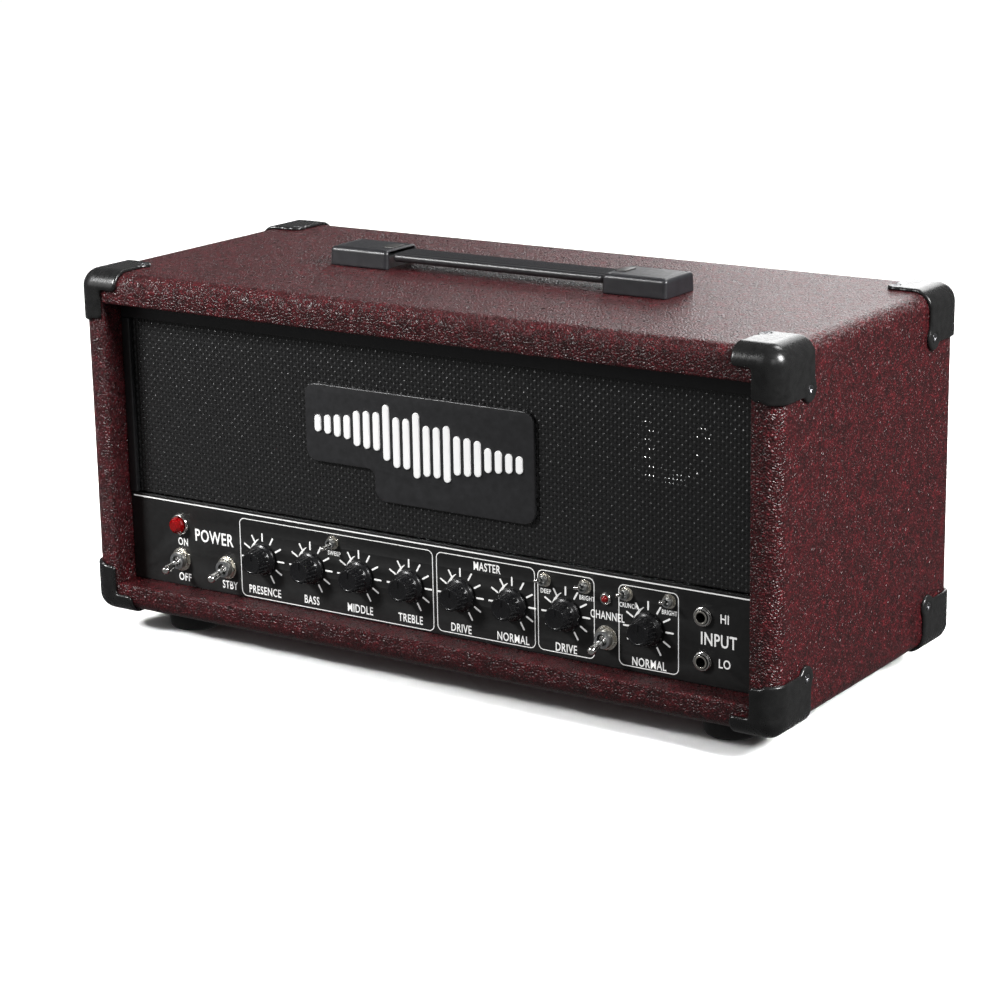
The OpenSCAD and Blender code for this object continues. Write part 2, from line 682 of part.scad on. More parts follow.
// Skirted knob with a fluted grip, on the shaft of its control
module knob(x) at_panel(x, pot_h, yp - 0.6) {
    difference() {
        union() {
            cylinder(r1 = knob_d / 2, r2 = knob_d / 2 - 0.8, h = 2.4);
            translate([0, 0, 2.4]) cylinder(r1 = knob_d / 2 - 0.8, r2 = knob_d / 2 - 3, h = 1.4);
            translate([0, 0, 3.8]) cylinder(r1 = knob_d / 2 - 3, r2 = knob_d / 2 - 3.8, h = knob_h - 5);
            translate([0, 0, knob_h - 1.2]) cylinder(r1 = knob_d / 2 - 3.8, r2 = knob_d / 2 - 5, h = 1.2);
        }
        for (a = [0 : 20 : 340]) rotate([0, 0, a + 10]) translate([knob_d / 2 - 2.6, 0, 4.4])
            cylinder(r = 0.9, h = knob_h);
        translate([0, 0, -1]) cylinder(r = 7.9, h = 5);
        translate([0, 0, -1]) cylinder(r = 3.2, h = knob_h - 2);
    }
    translate([0, 0, -11.4]) cylinder(r = 3.175, h = knob_h + 6);
}

module knob_presence() color([0.05, 0.05, 0.05]) knob(pot_x[0]);
module knob_bass() color([0.05, 0.05, 0.05]) knob(pot_x[1]);
module knob_medium() color([0.05, 0.05, 0.05]) knob(pot_x[2]);
module knob_treble() color([0.05, 0.05, 0.05]) knob(pot_x[3]);
module knob_master_drive() color([0.05, 0.05, 0.05]) knob(pot_x[4]);
module knob_master_normal() color([0.05, 0.05, 0.05]) knob(pot_x[5]);
module knob_gain_drive() color([0.05, 0.05, 0.05]) knob(pot_x[6]);
module knob_gain_normal() color([0.05, 0.05, 0.05]) knob(pot_x[7]);

// Chromed bat lever on its ball, tilted down by a
module lever(x, h, py, a, ball, shank, tip, l) translate([x, py, zb + h]) rotate([90 + a, 0, 0]) {
    sphere(r = ball);
    cylinder(r1 = shank, r2 = tip, h = l - tip);
    translate([0, 0, l - tip]) sphere(r = tip);
    translate([0, 0, -ball - 1.5]) cylinder(r = shank, h = 4);
}

module big_lever(i) lever(toggle_x[i], toggle_h, pivot_y, toggle_tilt, 4, 2.1, 3.2, 19.4);
module mini_lever(i) lever(mini_x[i], mini_h, mini_pivot_y, mini_dir[i] * mini_tilt, 2.3, 1, 1.5, 11.5);

module power_lever() color([0.85, 0.85, 0.86]) big_lever(0);
module standby_lever() color([0.85, 0.85, 0.86]) big_lever(1);
module channel_lever() color([0.85, 0.85, 0.86]) big_lever(2);
module sweep_lever() color([0.85, 0.85, 0.86]) mini_lever(0);
module deep_lever() color([0.85, 0.85, 0.86]) mini_lever(1);
module drive_bright_lever() color([0.85, 0.85, 0.86]) mini_lever(2);
module crunch_lever() color([0.85, 0.85, 0.86]) mini_lever(3);
module normal_bright_lever() color([0.85, 0.85, 0.86]) mini_lever(4);

// ---------- what is drawn ----------

top_board();
bottom_board();
left_side_board();
right_side_board();
vinyl_covering();
battens();
front_corners();
rear_corners();
corner_screws();
rubber_feet();
base_fasteners();
handle_caps();
handle_strap();
handle_anchors();
handle_bolts();
baffle_board();
grille_frame();
grille_cloth();
badge_plate();
badge_emblem();
front_panel();
chassis();
rear_plate();
pot_bodies();
panel_nuts();
toggle_bodies();
mini_toggle_bodies();
jack_bodies();
jack_nuts();
lamp_bezels();
pilot_jewel();
channel_led();
power_transformer();
output_transformer();
power_tubes();
preamp_tubes();
tube_sockets();
filter_capacitors();
circuit_board();
back_panel();
vent_grille();
back_panel_screws();
iec_inlet();
fuse_holder();
knob_presence();
knob_bass();
knob_medium();
knob_treble();
knob_master_drive();
knob_master_normal();
knob_gain_drive();
knob_gain_normal();
power_lever();
standby_lever();
channel_lever();
sweep_lever();
deep_lever();
drive_bright_lever();
crunch_lever();
normal_bright_lever();
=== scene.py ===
import math

import bmesh
import bpy
import numpy as np
from mathutils import Matrix, Vector


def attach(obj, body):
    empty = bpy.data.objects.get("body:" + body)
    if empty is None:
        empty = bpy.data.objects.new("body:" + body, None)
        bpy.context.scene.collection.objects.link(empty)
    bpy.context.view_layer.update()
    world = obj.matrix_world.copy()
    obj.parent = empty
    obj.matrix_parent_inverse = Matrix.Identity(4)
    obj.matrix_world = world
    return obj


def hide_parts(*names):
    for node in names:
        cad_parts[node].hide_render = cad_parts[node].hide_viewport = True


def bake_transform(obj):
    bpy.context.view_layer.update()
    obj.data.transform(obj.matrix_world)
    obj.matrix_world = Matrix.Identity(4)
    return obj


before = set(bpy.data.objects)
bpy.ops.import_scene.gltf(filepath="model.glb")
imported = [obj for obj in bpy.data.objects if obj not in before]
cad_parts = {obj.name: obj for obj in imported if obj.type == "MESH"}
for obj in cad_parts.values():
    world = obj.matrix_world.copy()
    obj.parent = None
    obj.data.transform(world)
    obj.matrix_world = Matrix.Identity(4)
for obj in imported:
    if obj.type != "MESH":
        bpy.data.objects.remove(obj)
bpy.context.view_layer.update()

# Sizes in millimetres, in the row frame: X right, Y back, Z up, floor at Z = 0.
HW, HD, ZB, ZT = 285.0, 128.0, 18.0, 270.0     # cabinet: half width, half depth, bottom and top
YP, YC, YR = -108.0, -106.0, 118.0             # front of the panel, its back, and the rear panel's
PZ1 = ZB + 86                                  # top edge of the front panel
# where each control stands across the panel, with each small lever's tilt
POTS = dict(
    knob_presence=-142.5, knob_bass=-99.3, knob_medium=-56.5, knob_treble=-13.3,
    knob_master_drive=29.8, knob_master_normal=72.3, knob_gain_drive=115.2, knob_gain_normal=179.3)
POT_Z = ZB + 51.6
BIG = dict(power_lever=-218.8, standby_lever=-175.8, channel_lever=147.2)
BIG_Z = ZB + 40.4
MINI = dict(sweep_lever=(-78.8, 1), deep_lever=(98.9, -1), drive_bright_lever=(130.8, -1),
            crunch_lever=(162.9, -1), normal_bright_lever=(195.5, -1))
MINI_Z = ZB + 73.3
REAR_JACKS = [-40, -8, 40, 72, 120]
REAR_Z = ZB + 48

# ---------------------------------------------------------------- mesh tools


def piece(name, parts, mat, body="cabinet", nodes=(), sharp=40):
    """One object from several (vertices in mm, faces) parts, riding on a body in place of CAD nodes."""
    vs, fs, n = [], [], 0
    for v, f in parts:
        vs.append(np.asarray(v, float))
        fs += [tuple(int(i) + n for i in q) for q in f]
        n += len(v)
    me = bpy.data.meshes.new(name)
    me.from_pydata((np.concatenate(vs) * 0.001).tolist(), [], fs)
    me.update()
    bm = bmesh.new()
    bm.from_mesh(me)
    bmesh.ops.recalc_face_normals(bm, faces=bm.faces)
    bm.to_mesh(me)
    bm.free()
    me.shade_smooth()
    if sharp:
        me.set_sharp_from_angle(angle=math.radians(sharp))
    me.materials.append(mat)
    ob = bpy.data.objects.new(name, me)
    bpy.context.scene.collection.objects.link(ob)
    if body:
        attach(ob, body)
    if nodes:
        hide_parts(*nodes)
    return ob


def arc(cx, cy, r, a0, a1, n, ry=None):
    """Points at n equal steps round a circle, or an ellipse, between two angles in degrees."""
    t = np.radians(np.linspace(a0, a1, n + 1))
    return list(zip(cx + r * np.cos(t), cy + (ry or r) * np.sin(t)))


def soft(pts, closed=False, seg=4):
    """A polyline of (x, y, radius) with its corners rounded."""
    out, n = [], len(pts)
    for i, p3 in enumerate(pts):
        r = p3[2] if len(p3) > 2 else 0
        if r <= 0 or (not closed and i in (0, n - 1)):
            out.append((p3[0], p3[1]))
            continue
        p = np.array(p3[:2], float)
        a, b = np.array(pts[i - 1][:2]) - p, np.array(pts[(i + 1) % n][:2]) - p
        la, lb = np.linalg.norm(a), np.linalg.norm(b)
        k = min(r, la * 0.49, lb * 0.49)
        s, e = p + a / la * k, p + b / lb * k
        for t in np.linspace(0, 1, seg + 1):
            out.append(tuple((1 - t) ** 2 * s + 2 * t * (1 - t) * p + t * t * e))
    return out


def lathe(prof, n=48, mod=None, loop=False):
    """Turned shape round Z from a profile of (radius, z)."""
    v, f, rows = [], [], []
    a = np.arange(n) * 2 * np.pi / n
    for r, z in prof:
        if r < 1e-6:
            rows.append([len(v)])
            v.append((0.0, 0.0, z))
            continue
        rr = np.full(n, r) if mod is None else mod(a, r, z)
        rows.append(list(range(len(v), len(v) + n)))
        v += list(zip(rr * np.cos(a), rr * np.sin(a), np.full(n, z)))
    pairs = list(zip(rows, rows[1:])) + ([(rows[-1], rows[0])] if loop else [])
    for p, q in pairs:
        for i in range(n):
            j = (i + 1) % n
            if len(p) == 1 and len(q) == 1:
                continue
            if len(p) == 1:
                f.append((p[0], q[j], q[i]))
            elif len(q) == 1:
                f.append((p[i], p[j], q[0]))
            else:
                f.append((p[i], p[j], q[j], q[i]))
    return np.array(v, float), f


def at(part, x, y, z, face="front", turn=0.0, tilt=0.0):
    """Turns a part made along +Z to face the front, the rear or up, and puts it at x, y, z."""
    v, f = part
    lay = {"front": 90, "rear": -90, "up": 0}[face]
    m = Matrix.Rotation(math.radians(tilt), 3, "X") @ Matrix.Rotation(math.radians(turn), 3, "Z")
    m = Matrix.Rotation(math.radians(lay), 3, "X") @ m
    return np.asarray(v) @ np.array(m).T + (x, y, z), f


def grid(P, close_u=False, close_v=False):
    """Faces of a grid of points of shape (u, v, 3)."""
    nu, nv = P.shape[:2]
    i = np.arange(nu * nv).reshape(nu, nv)
    if close_u:
        i = np.concatenate([i, i[:1]], 0)
    if close_v:
        i = np.concatenate([i, i[:, :1]], 1)
    q = np.stack([i[:-1, :-1], i[1:, :-1], i[1:, 1:], i[:-1, 1:]], -1).reshape(-1, 4)
    return P.reshape(-1, 3), q.tolist()


def rounded_box(x0, x1, y0, y1, z0, z1, r=0.8, seg=3):
    """A box with rounded edges."""
    bm = bmesh.new()
    bmesh.ops.create_cube(bm, size=1)
    for v in bm.verts:
        v.co = Vector(((x0 + x1) / 2 + v.co.x * (x1 - x0), (y0 + y1) / 2 + v.co.y * (y1 - y0),
                       (z0 + z1) / 2 + v.co.z * (z1 - z0)))
    bmesh.ops.bevel(bm, geom=bm.edges[:], offset=r, segments=seg, profile=0.5, affect="EDGES",
                    clamp_overlap=True)
    bm.verts.ensure_lookup_table()
    out = [tuple(v.co) for v in bm.verts], [tuple(v.index for v in f.verts) for f in bm.faces]
    bm.free()
    return out


def rrect(x0, z0, x1, z1, r, n=6):
    """Outline of a rectangle with rounded corners."""
    return (arc(x1 - r, z1 - r, r, 0, 90, n) + arc(x0 + r, z1 - r, r, 90, 180, n)
            + arc(x0 + r, z0 + r, r, 180, 270, n) + arc(x1 - r, z0 + r, r, 270, 360, n))


def circle(cx, cz, r, n=32):
    """Outline of a circle, without repeating its first point."""
    return arc(cx, cz, r, 0, 360, n)[:-1]


def cut_plate(outlines, depth, bevel=0.25, res=2):
    """A flat plate with holes and bevelled rims, in its own plane, from z = 0 to depth."""
    cu = bpy.data.curves.new("tmp", "CURVE")
    cu.dimensions, cu.fill_mode = "2D", "BOTH"
    cu.extrude, cu.bevel_depth, cu.bevel_resolution = depth / 2 - bevel, bevel, res
    cu.offset = -bevel
    for pts in outlines:
        s = cu.splines.new("POLY")
        s.points.add(len(pts) - 1)
        s.points.foreach_set("co", [c for p in pts for c in (p[0], p[1], 0.0, 1.0)])
        s.use_cyclic_u = True
    return from_curve(cu, (0, 0, depth / 2))


def flat_ink(outlines, thick=0.05):
    """Printed shapes as a thin layer."""
    return cut_plate(outlines, thick, bevel=0.0)


def from_curve(cu, shift):
    """Vertices and faces of a curve or text object, moved by shift."""
    ob = bpy.data.objects.new("tmp", cu)
    bpy.context.scene.collection.objects.link(ob)
    dg = bpy.context.evaluated_depsgraph_get()
    me = bpy.data.meshes.new_from_object(ob.evaluated_get(dg))
    bm = bmesh.new()
    bm.from_mesh(me)
    bmesh.ops.remove_doubles(bm, verts=bm.verts, dist=1e-4)
    bm.verts.ensure_lookup_table()
    v = np.array([tuple(p.co) for p in bm.verts], float) + shift
    f = [tuple(p.index for p in q.verts) for q in bm.faces]
    bm.free()
    bpy.data.objects.remove(ob)
    bpy.data.meshes.remove(me)
    return v, f


def text(body, size, x, z, wide=0.8):
    """Centred capitals as raised ink, in the panel plane."""
    cu = bpy.data.curves.new("tmp", "FONT")
    cu.body, cu.size, cu.align_x, cu.align_y = body, size * 1.38, "CENTER", "CENTER"
    cu.extrude, cu.space_character, cu.offset, cu.resolution_u = 0.025, 1.08, size * 0.02, 3
    v, f = from_curve(cu, (0, 0, 0.025))
    v[:, 0] = v[:, 0] * wide + x
    v[:, 1] += z
    return v, f


def upright(part, y, face="front"):
    """Takes a part drawn in (x, z, depth) onto the front (depth to -Y) or the rear (depth to +Y)."""
    v, f = part
    v = np.asarray(v, float)
    s = -1 if face == "front" else 1
    return np.stack([v[:, 0], y + s * v[:, 2], v[:, 1]], 1), f


def smin(a, b, k):
    """Union of two distance fields, blended over k."""
    h = np.clip(0.5 + 0.5 * (b - a) / k, 0, 1)
    return b + (a - b) * h - k * h * (1 - h)


def smax(a, b, k):
    """Intersection of two distance fields, blended over k."""
    return -smin(-a, -b, k)


def sd_box(P, lo, hi, r):
    """Distance from points P to a box whose edges are rounded by r."""
    lo, hi = np.array(lo, float), np.array(hi, float)
    q = np.abs(P - (lo + hi) / 2) - (hi - lo) / 2 + r
    return np.linalg.norm(np.maximum(q, 0), axis=-1) + np.minimum(q.max(-1), 0) - r


def nets(f, lo, hi, h):
    """Closed surface where f = 0, from samples on a grid of pitch h, then moved onto f exactly."""
    ax = [np.arange(a, b + h, h) for a, b in zip(lo, hi)]
    V = f(np.stack(np.meshgrid(*ax, indexing="ij"), -1))
    n = V.shape
    acc, cnt = np.zeros([k - 1 for k in n] + [3]), np.zeros([k - 1 for k in n])
    for d in range(3):
        o = [k for k in range(3) if k != d]
        for da in (0, 1):
            for db in (0, 1):
                s0, s1 = [None] * 3, [None] * 3
                s0[d], s1[d] = slice(0, n[d] - 1), slice(1, n[d])
                for k, e in zip(o, (da, db)):
                    s0[k] = s1[k] = slice(e, n[k] - 1 + e)
                a, b = V[tuple(s0)], V[tuple(s1)]
                hit = (a < 0) != (b < 0)
                t = np.where(hit, a / np.where(hit, a - b, 1), 0)
                off = np.zeros(t.shape + (3,))
                off[..., d], off[..., o[0]], off[..., o[1]] = t, da, db
                acc += np.where(hit[..., None], off, 0)
                cnt += hit
    used = cnt > 0
    idx = np.full(cnt.shape, -1)
    idx[used] = np.arange(used.sum())
    cell = np.argwhere(used)
    v = (cell + acc[used] / cnt[used][:, None]) * h + np.array([a[0] for a in ax])
    faces = []
    S = V < 0
    for d in range(3):
        e, g = (d + 1) % 3, (d + 2) % 3
        s0, s1 = [slice(1, k - 1) for k in n], [slice(1, k - 1) for k in n]
        s0[d], s1[d] = slice(0, n[d] - 1), slice(1, n[d])
        a, b = S[tuple(s0)], S[tuple(s1)]
        for flip in (False, True):
            w = np.argwhere((a & ~b) if not flip else (~a & b))
            if not len(w):
                continue
            w[:, e] += 1
            w[:, g] += 1
            de, dg_ = np.eye(3, dtype=int)[e], np.eye(3, dtype=int)[g]
            q = np.stack([idx[tuple((w - de * i - dg_ * j).T)] for i, j in
                          ((1, 1), (0, 1), (0, 0), (1, 0))], -1)
            faces.append(q[:, ::-1] if flip else q)
    for _ in range(4):
        d0 = f(v)
        g = np.stack([(f(v + dv) - f(v - dv)) / 0.02 for dv in np.eye(3) * 0.01], -1)
        step = g * (d0 / np.maximum((g * g).sum(-1), 0.2))[:, None]
        v = v - np.clip(step, -h * 0.4, h * 0.4)
    return v, np.concatenate(faces).tolist()


# ---------------------------------------------------------------- materials


def mat_base(name):
    """A new node material: the material, its node tree and its Principled shader."""
    m = bpy.data.materials.new(name)
    m.use_nodes = True
    nt = m.node_tree
    return m, nt, nt.nodes["Principled BSDF"]


def node(nt, kind, inputs=None, **props):
    """Adds a node, with inputs that are either sockets to link or values to set."""
    n = nt.nodes.new(kind)
    for k, val in props.items():
        setattr(n, k, val)
    for k, val in (inputs or {}).items():
        if isinstance(val, bpy.types.NodeSocket):
            nt.links.new(val, n.inputs[k])
        else:
            n.inputs[k].default_value = val
    return n


def coords(nt, scale=(1, 1, 1)):
    """Object coordinates, which are the row frame in metres."""
    tc = node(nt, "ShaderNodeTexCoord")
    return node(nt, "ShaderNodeMapping", {"Vector": tc.outputs["Object"], "Scale": scale}).outputs[0]


def noise(nt, co, scale, detail=3.0, rough=0.55, dist=0.0):
    """Noise texture node."""
    return node(nt, "ShaderNodeTexNoise", {"Vector": co, "Scale": scale, "Detail": detail,
                                           "Roughness": rough, "Distortion": dist})


def ramp(nt, fac, stops):
    """Colour ramp through (position, grey or colour) stops."""
    r = node(nt, "ShaderNodeValToRGB", {"Fac": fac})
    e = r.color_ramp.elements
    while len(e) < len(stops):
        e.new(0.5)
    for el, (p, c) in zip(e, stops):
        el.position = p
        el.color = (c, c, c, 1) if isinstance(c, (int, float)) else (*c, 1)
    return r.outputs[0]


def rng(nt, val, a, b, c, d):
    """Maps the range a to b onto c to d."""
    return node(nt, "ShaderNodeMapRange", {"Value": val, "From Min": a, "From Max": b,
                                           "To Min": c, "To Max": d}).outputs[0]


def math_(nt, op, a, b=0.0):
    """Output of a math node."""
    return node(nt, "ShaderNodeMath", {0: a, 1: b}, operation=op).outputs[0]


def mixc(nt, fac, a, b, blend="MIX"):
    """Output of a colour mix node."""
    n = node(nt, "ShaderNodeMix", data_type="RGBA", blend_type=blend)
    for s, val in (("Factor_Float", fac), ("A_Color", a), ("B_Color", b)):
        i = next(k for k in n.inputs if k.identifier == s)
        if isinstance(val, bpy.types.NodeSocket):
            nt.links.new(val, i)
        else:
            i.default_value = (*val, 1) if isinstance(val, tuple) else val
    return next(k for k in n.outputs if k.identifier == "Result_Color")


def bump(nt, bs, height, strength, dist):
    """Relief from a height socket, with its depth in metres."""
    n = node(nt, "ShaderNodeBump", {"Height": height, "Strength": strength, "Distance": dist})
    nt.links.new(n.outputs[0], bs.inputs["Normal"])


def plain(name, a, b, scale, rough, relief, relief_mm=0.02, metal=0.0, coat=0.0):
    """Two tones (greys may be one number) mixed by noise, varied roughness and a fine relief."""
    m, nt, bs = mat_base(name)
    co = coords(nt)
    n1 = noise(nt, co, scale, 4)
    a, b = [c if isinstance(c, tuple) else (c, c, c) for c in (a, b)]
    nt.links.new(mixc(nt, rng(nt, n1.outputs[0], 0.3, 0.7, 0, 1), a, b), bs.inputs["Base Color"])
    n2 = noise(nt, co, scale * 2.7, 3)
    nt.links.new(rng(nt, n2.outputs[0], 0.25, 0.75, rough[0], rough[1]), bs.inputs["Roughness"])
    bs.inputs["Metallic"].default_value = metal
    bs.inputs["Coat Weight"].default_value = coat
    bs.inputs["Coat Roughness"].default_value = 0.1
    bump(nt, bs, noise(nt, co, relief, 3).outputs[0], 0.7, relief_mm * 0.001)
    return m


def vinyl_material():
    """Embossed vinyl: pebbled grain in wine red on near black."""
    m, nt, bs = mat_base("oxblood_vinyl")
    co = coords(nt)
    warp = noise(nt, co, 260, 2)
    add = node(nt, "ShaderNodeVectorMath", {0: co}, operation="ADD")
    sc = node(nt, "ShaderNodeVectorMath", {0: warp.outputs["Color"], "Scale": 0.0016},
              operation="SCALE")
    nt.links.new(sc.outputs[0], add.inputs[1])
    wco = add.outputs[0]
    # grain: short wandering ridges between fine valleys
    n1 = noise(nt, wco, 330, 1.5, 0.5)
    worm = math_(nt, "ABSOLUTE", math_(nt, "SUBTRACT", n1.outputs[0], 0.5))
    worm = rng(nt, worm, 0.0, 0.16, 0.0, 1.0)
    vor = node(nt, "ShaderNodeTexVoronoi", {"Vector": wco, "Scale": 430.0, "Randomness": 1.0},
               feature="DISTANCE_TO_EDGE")
    cells = rng(nt, vor.outputs["Distance"], 0.0, 0.34, 0.0, 1.0)
    height = math_(nt, "MULTIPLY", math_(nt, "ADD", math_(nt, "MULTIPLY", worm, 0.6), 0.4), cells)
    # colour: near black to wine red, in blotches, with painted shade darkening the low parts of the grain
    big = noise(nt, co, 95, 3, 0.6)
    blot = noise(nt, wco, 240, 3, 0.7, 0.6)
    mix = math_(nt, "ADD", math_(nt, "MULTIPLY", blot.outputs[0], 0.75),
                math_(nt, "MULTIPLY", big.outputs[0], 0.25))
    tone = ramp(nt, mix, [(0.34, (0.034, 0.009, 0.010)), (0.46, (0.062, 0.011, 0.013)),
                          (0.56, (0.105, 0.012, 0.016)), (0.67, (0.19, 0.016, 0.022))])
    # painted shade: the colour is multiplied down to 0.3 where the grain's relief is lowest
    painted_valley_shade = ramp(nt, height, [(0.0, 0.30), (0.55, 1.0)])
    col = mixc(nt, 1.0, tone, painted_valley_shade, "MULTIPLY")
    nt.links.new(col, bs.inputs["Base Color"])
    nt.links.new(rng(nt, blot.outputs[0], 0.3, 0.7, 0.24, 0.38), bs.inputs["Roughness"])
    bs.inputs["Specular IOR Level"].default_value = 0.42
    fine = noise(nt, co, 2600, 2)
    h = math_(nt, "ADD", height, math_(nt, "MULTIPLY", fine.outputs[0], 0.12))
    bump(nt, bs, h, 0.9, 0.0008)
    return m


def cloth_material():
    """Black grille cloth, with fibres along its strands."""
    m, nt, bs = mat_base("black_weave")
    co = coords(nt)
    thread = noise(nt, coords(nt, (1, 1, 0.35)), 1900, 3, 0.6)
    tone = noise(nt, co, 60, 3)
    col = mixc(nt, rng(nt, thread.outputs[0], 0.35, 0.7, 0, 1), (0.006, 0.006, 0.006),
               (0.024, 0.024, 0.025))
    col = mixc(nt, rng(nt, tone.outputs[0], 0.3, 0.7, 0.0, 0.35), col, (0.018, 0.018, 0.018))
    nt.links.new(col, bs.inputs["Base Color"])
    nt.links.new(rng(nt, thread.outputs[0], 0.3, 0.7, 0.20, 0.36), bs.inputs["Roughness"])
    bs.inputs["Sheen Weight"].default_value = 0.05
    bump(nt, bs, thread.outputs[0], 0.7, 0.0001)
    return m


def wood_material(name, a, b, axis):
    """Wood with its grain drawn out along one axis."""
    m, nt, bs = mat_base(name)
    st = [14.0, 14.0, 14.0]
    st[axis] = 1.2
    n1 = noise(nt, coords(nt, tuple(st)), 9, 5, 0.6, 0.8)
    nt.links.new(mixc(nt, rng(nt, n1.outputs[0], 0.3, 0.7, 0, 1), a, b), bs.inputs["Base Color"])
    n2 = noise(nt, coords(nt, tuple(k * 3 for k in st)), 30, 3)
    nt.links.new(rng(nt, n2.outputs[0], 0.3, 0.7, 0.55, 0.75), bs.inputs["Roughness"])
    bump(nt, bs, n2.outputs[0], 0.5, 0.0001)
    return m


def glass_material(name, colour):
    """Clear glass, faintly uneven."""
    m, nt, bs = mat_base(name)
    n1 = noise(nt, coords(nt), 90, 2)
    nt.links.new(mixc(nt, n1.outputs[0], colour, tuple(c * 0.85 for c in colour)),
                 bs.inputs["Base Color"])
    nt.links.new(rng(nt, n1.outputs[0], 0.3, 0.7, 0.05, 0.09), bs.inputs["Roughness"])
    bs.inputs["Transmission Weight"].default_value = 1.0
    bs.inputs["IOR"].default_value = 1.5
    return m


VINYL = vinyl_material()
CLOTH = cloth_material()
MOULD = plain("moulded_black", 0.007, 0.013, 160, (0.2, 0.32), 1500)
CAPS = plain("handle_plastic", (0.014, 0.014, 0.016), (0.022, 0.022, 0.025), 140,
             (0.3, 0.42), 1800, 0.025)
STRAP = plain("strap_rubber", (0.014, 0.014, 0.015), (0.024, 0.024, 0.026), 220,
              (0.28, 0.4), 1400)
TRIM = plain("trim_grey", (0.03, 0.029, 0.028), (0.05, 0.048, 0.046), 300,
             (0.3, 0.42), 1600)
KNOB = plain("knob_phenolic", (0.005, 0.005, 0.006), (0.009, 0.009, 0.01), 300,
             (0.22, 0.34), 1700, 0.012, coat=0.1)
RUBBER = plain("foot_rubber", 0.012, 0.022, 200, (0.6, 0.75), 1200, 0.05)
PANEL = plain("panel_paint", 0.008, 0.013, 220, (0.42, 0.52), 2200, 0.015)
STRIP = plain("strip_paint", (0.01, 0.01, 0.011), (0.016, 0.016, 0.017), 180,
              (0.4, 0.52), 1500)
INK = plain("white_ink", (0.88, 0.88, 0.86), (0.94, 0.94, 0.92), 500, (0.45, 0.6), 2500,
            0.005)
CHROME = plain("chrome", (0.84, 0.83, 0.8), (0.92, 0.91, 0.88), 240, (0.07, 0.17), 900,
               0.006, metal=1.0)
NICKEL = plain("nickel", (0.78, 0.75, 0.67), (0.9, 0.87, 0.8), 260, (0.14, 0.28), 1100,
               0.008, metal=1.0)
SCREW = plain("dark_screw", (0.16, 0.16, 0.17), (0.26, 0.26, 0.27), 400, (0.28, 0.42),
              1800, 0.01, metal=1.0)
STEEL = plain("zinc_steel", (0.48, 0.49, 0.5), (0.6, 0.61, 0.62), 60, (0.28, 0.45), 700,
              metal=1.0)
CORE = plain("core_lacquer", (0.02, 0.02, 0.022), (0.035, 0.035, 0.038), 90, (0.35, 0.5),
             500, 0.05)
GRILLE = plain("grille_powder", (0.02, 0.02, 0.021), (0.032, 0.032, 0.034), 120,
               (0.42, 0.56), 1400, 0.04)
BACK = plain("back_vinyl", (0.012, 0.012, 0.013), (0.022, 0.022, 0.023), 300,
             (0.48, 0.62), 520, 0.18)
BADGE = plain("badge_grey", (0.02, 0.02, 0.021), (0.03, 0.03, 0.032), 200, (0.3, 0.42),
              1500, 0.012)
WHITE = plain("badge_white", (0.88, 0.88, 0.87), (0.94, 0.94, 0.93), 260, (0.22, 0.34),
              1500, 0.008)
CERAMIC = plain("socket_ceramic", (0.7, 0.68, 0.62), (0.8, 0.78, 0.72), 200, (0.3, 0.45), 900)
SLEEVE = plain("capacitor_sleeve", (0.03, 0.06, 0.2), (0.05, 0.09, 0.26), 130,
               (0.25, 0.4), 900)
BOARD = plain("board_green", (0.02, 0.1, 0.04), (0.03, 0.14, 0.06), 300, (0.35, 0.5), 1200, 0.03)
ANODE = plain("anode_grey", (0.08, 0.08, 0.085), (0.14, 0.14, 0.145), 200, (0.4, 0.55),
              800, metal=0.6)
BORE = plain("socket_black", 0.004, 0.008, 300, (0.5, 0.7), 900)
PLY_X = wood_material("plywood_long", (0.42, 0.27, 0.14), (0.56, 0.39, 0.22), 0)
PLY_Z = wood_material("plywood_side", (0.40, 0.26, 0.13), (0.54, 0.37, 0.21), 1)
PINE = wood_material("pine", (0.50, 0.33, 0.17), (0.62, 0.44, 0.25), 0)
BAFFLE = plain("baffle_black", (0.012, 0.011, 0.01), (0.02, 0.018, 0.017), 120, (0.6, 0.8), 400,
               0.1)
# painted light: the white ink and the badge's white bars glow faintly with their own emission, so they read
# bright whatever light reaches them
for m in (INK, WHITE):
    bs = m.node_tree.nodes["Principled BSDF"]
    bs.inputs["Emission Color"].default_value = (1, 1, 1, 1)
    bs.inputs["Emission Strength"].default_value = 0.28
GLASS = glass_material("valve_glass", (0.95, 0.97, 0.98))

RED, nt, bs = mat_base("jewel_red")
n1 = noise(nt, coords(nt), 500, 2)
nt.links.new(mixc(nt, n1.outputs[0], (0.20, 0.001, 0.002), (0.32, 0.002, 0.003)),
             bs.inputs["Base Color"])
nt.links.new(rng(nt, n1.outputs[0], 0.3, 0.7, 0.05, 0.12), bs.inputs["Roughness"])
bs.inputs["Subsurface Weight"].default_value = 0.2
bs.inputs["Subsurface Radius"].default_value = (0.004, 0.0005, 0.0005)
bs.inputs["Coat Weight"].default_value = 0.6
LED = RED.copy()
LED.name = "led_red"

# ---------------------------------------------------------------- cabinet covering

ER = 11.0      # radius of the cabinet's outer edges


def ring(inset, y, r_min):
    """Rounded rectangle at depth y, drawn in from the cabinet's outline."""
    # the top board is 2 mm thicker, so inside the lip the ring sits lower at the top
    drop = 2.0 * min(max((inset - 12.0) / 5.0, 0.0), 1.0)
    x, z0, z1 = HW - inset, ZB + inset, ZT - inset - drop
    r = max(ER - inset, r_min)
    pts = []
    for cx, cz, a0, ex, ez, n in ((x - r, z1 - r, 0, r - x, z1, 132), (r - x, z1 - r, 90, -x, z0 + r, 58),
                                  (r - x, z0 + r, 180, x - r, z0, 132), (x - r, z0 + r, 270, x, z1 - r, 58)):
        pts += arc(cx, cz, r, a0, a0 + 90, 10)
        px, pz = pts[-1]
        pts += [(px + (ex - px) * i / n, pz + (ez - pz) * i / n) for i in range(1, n)]
    return [(px, y, pz) for px, pz in pts]


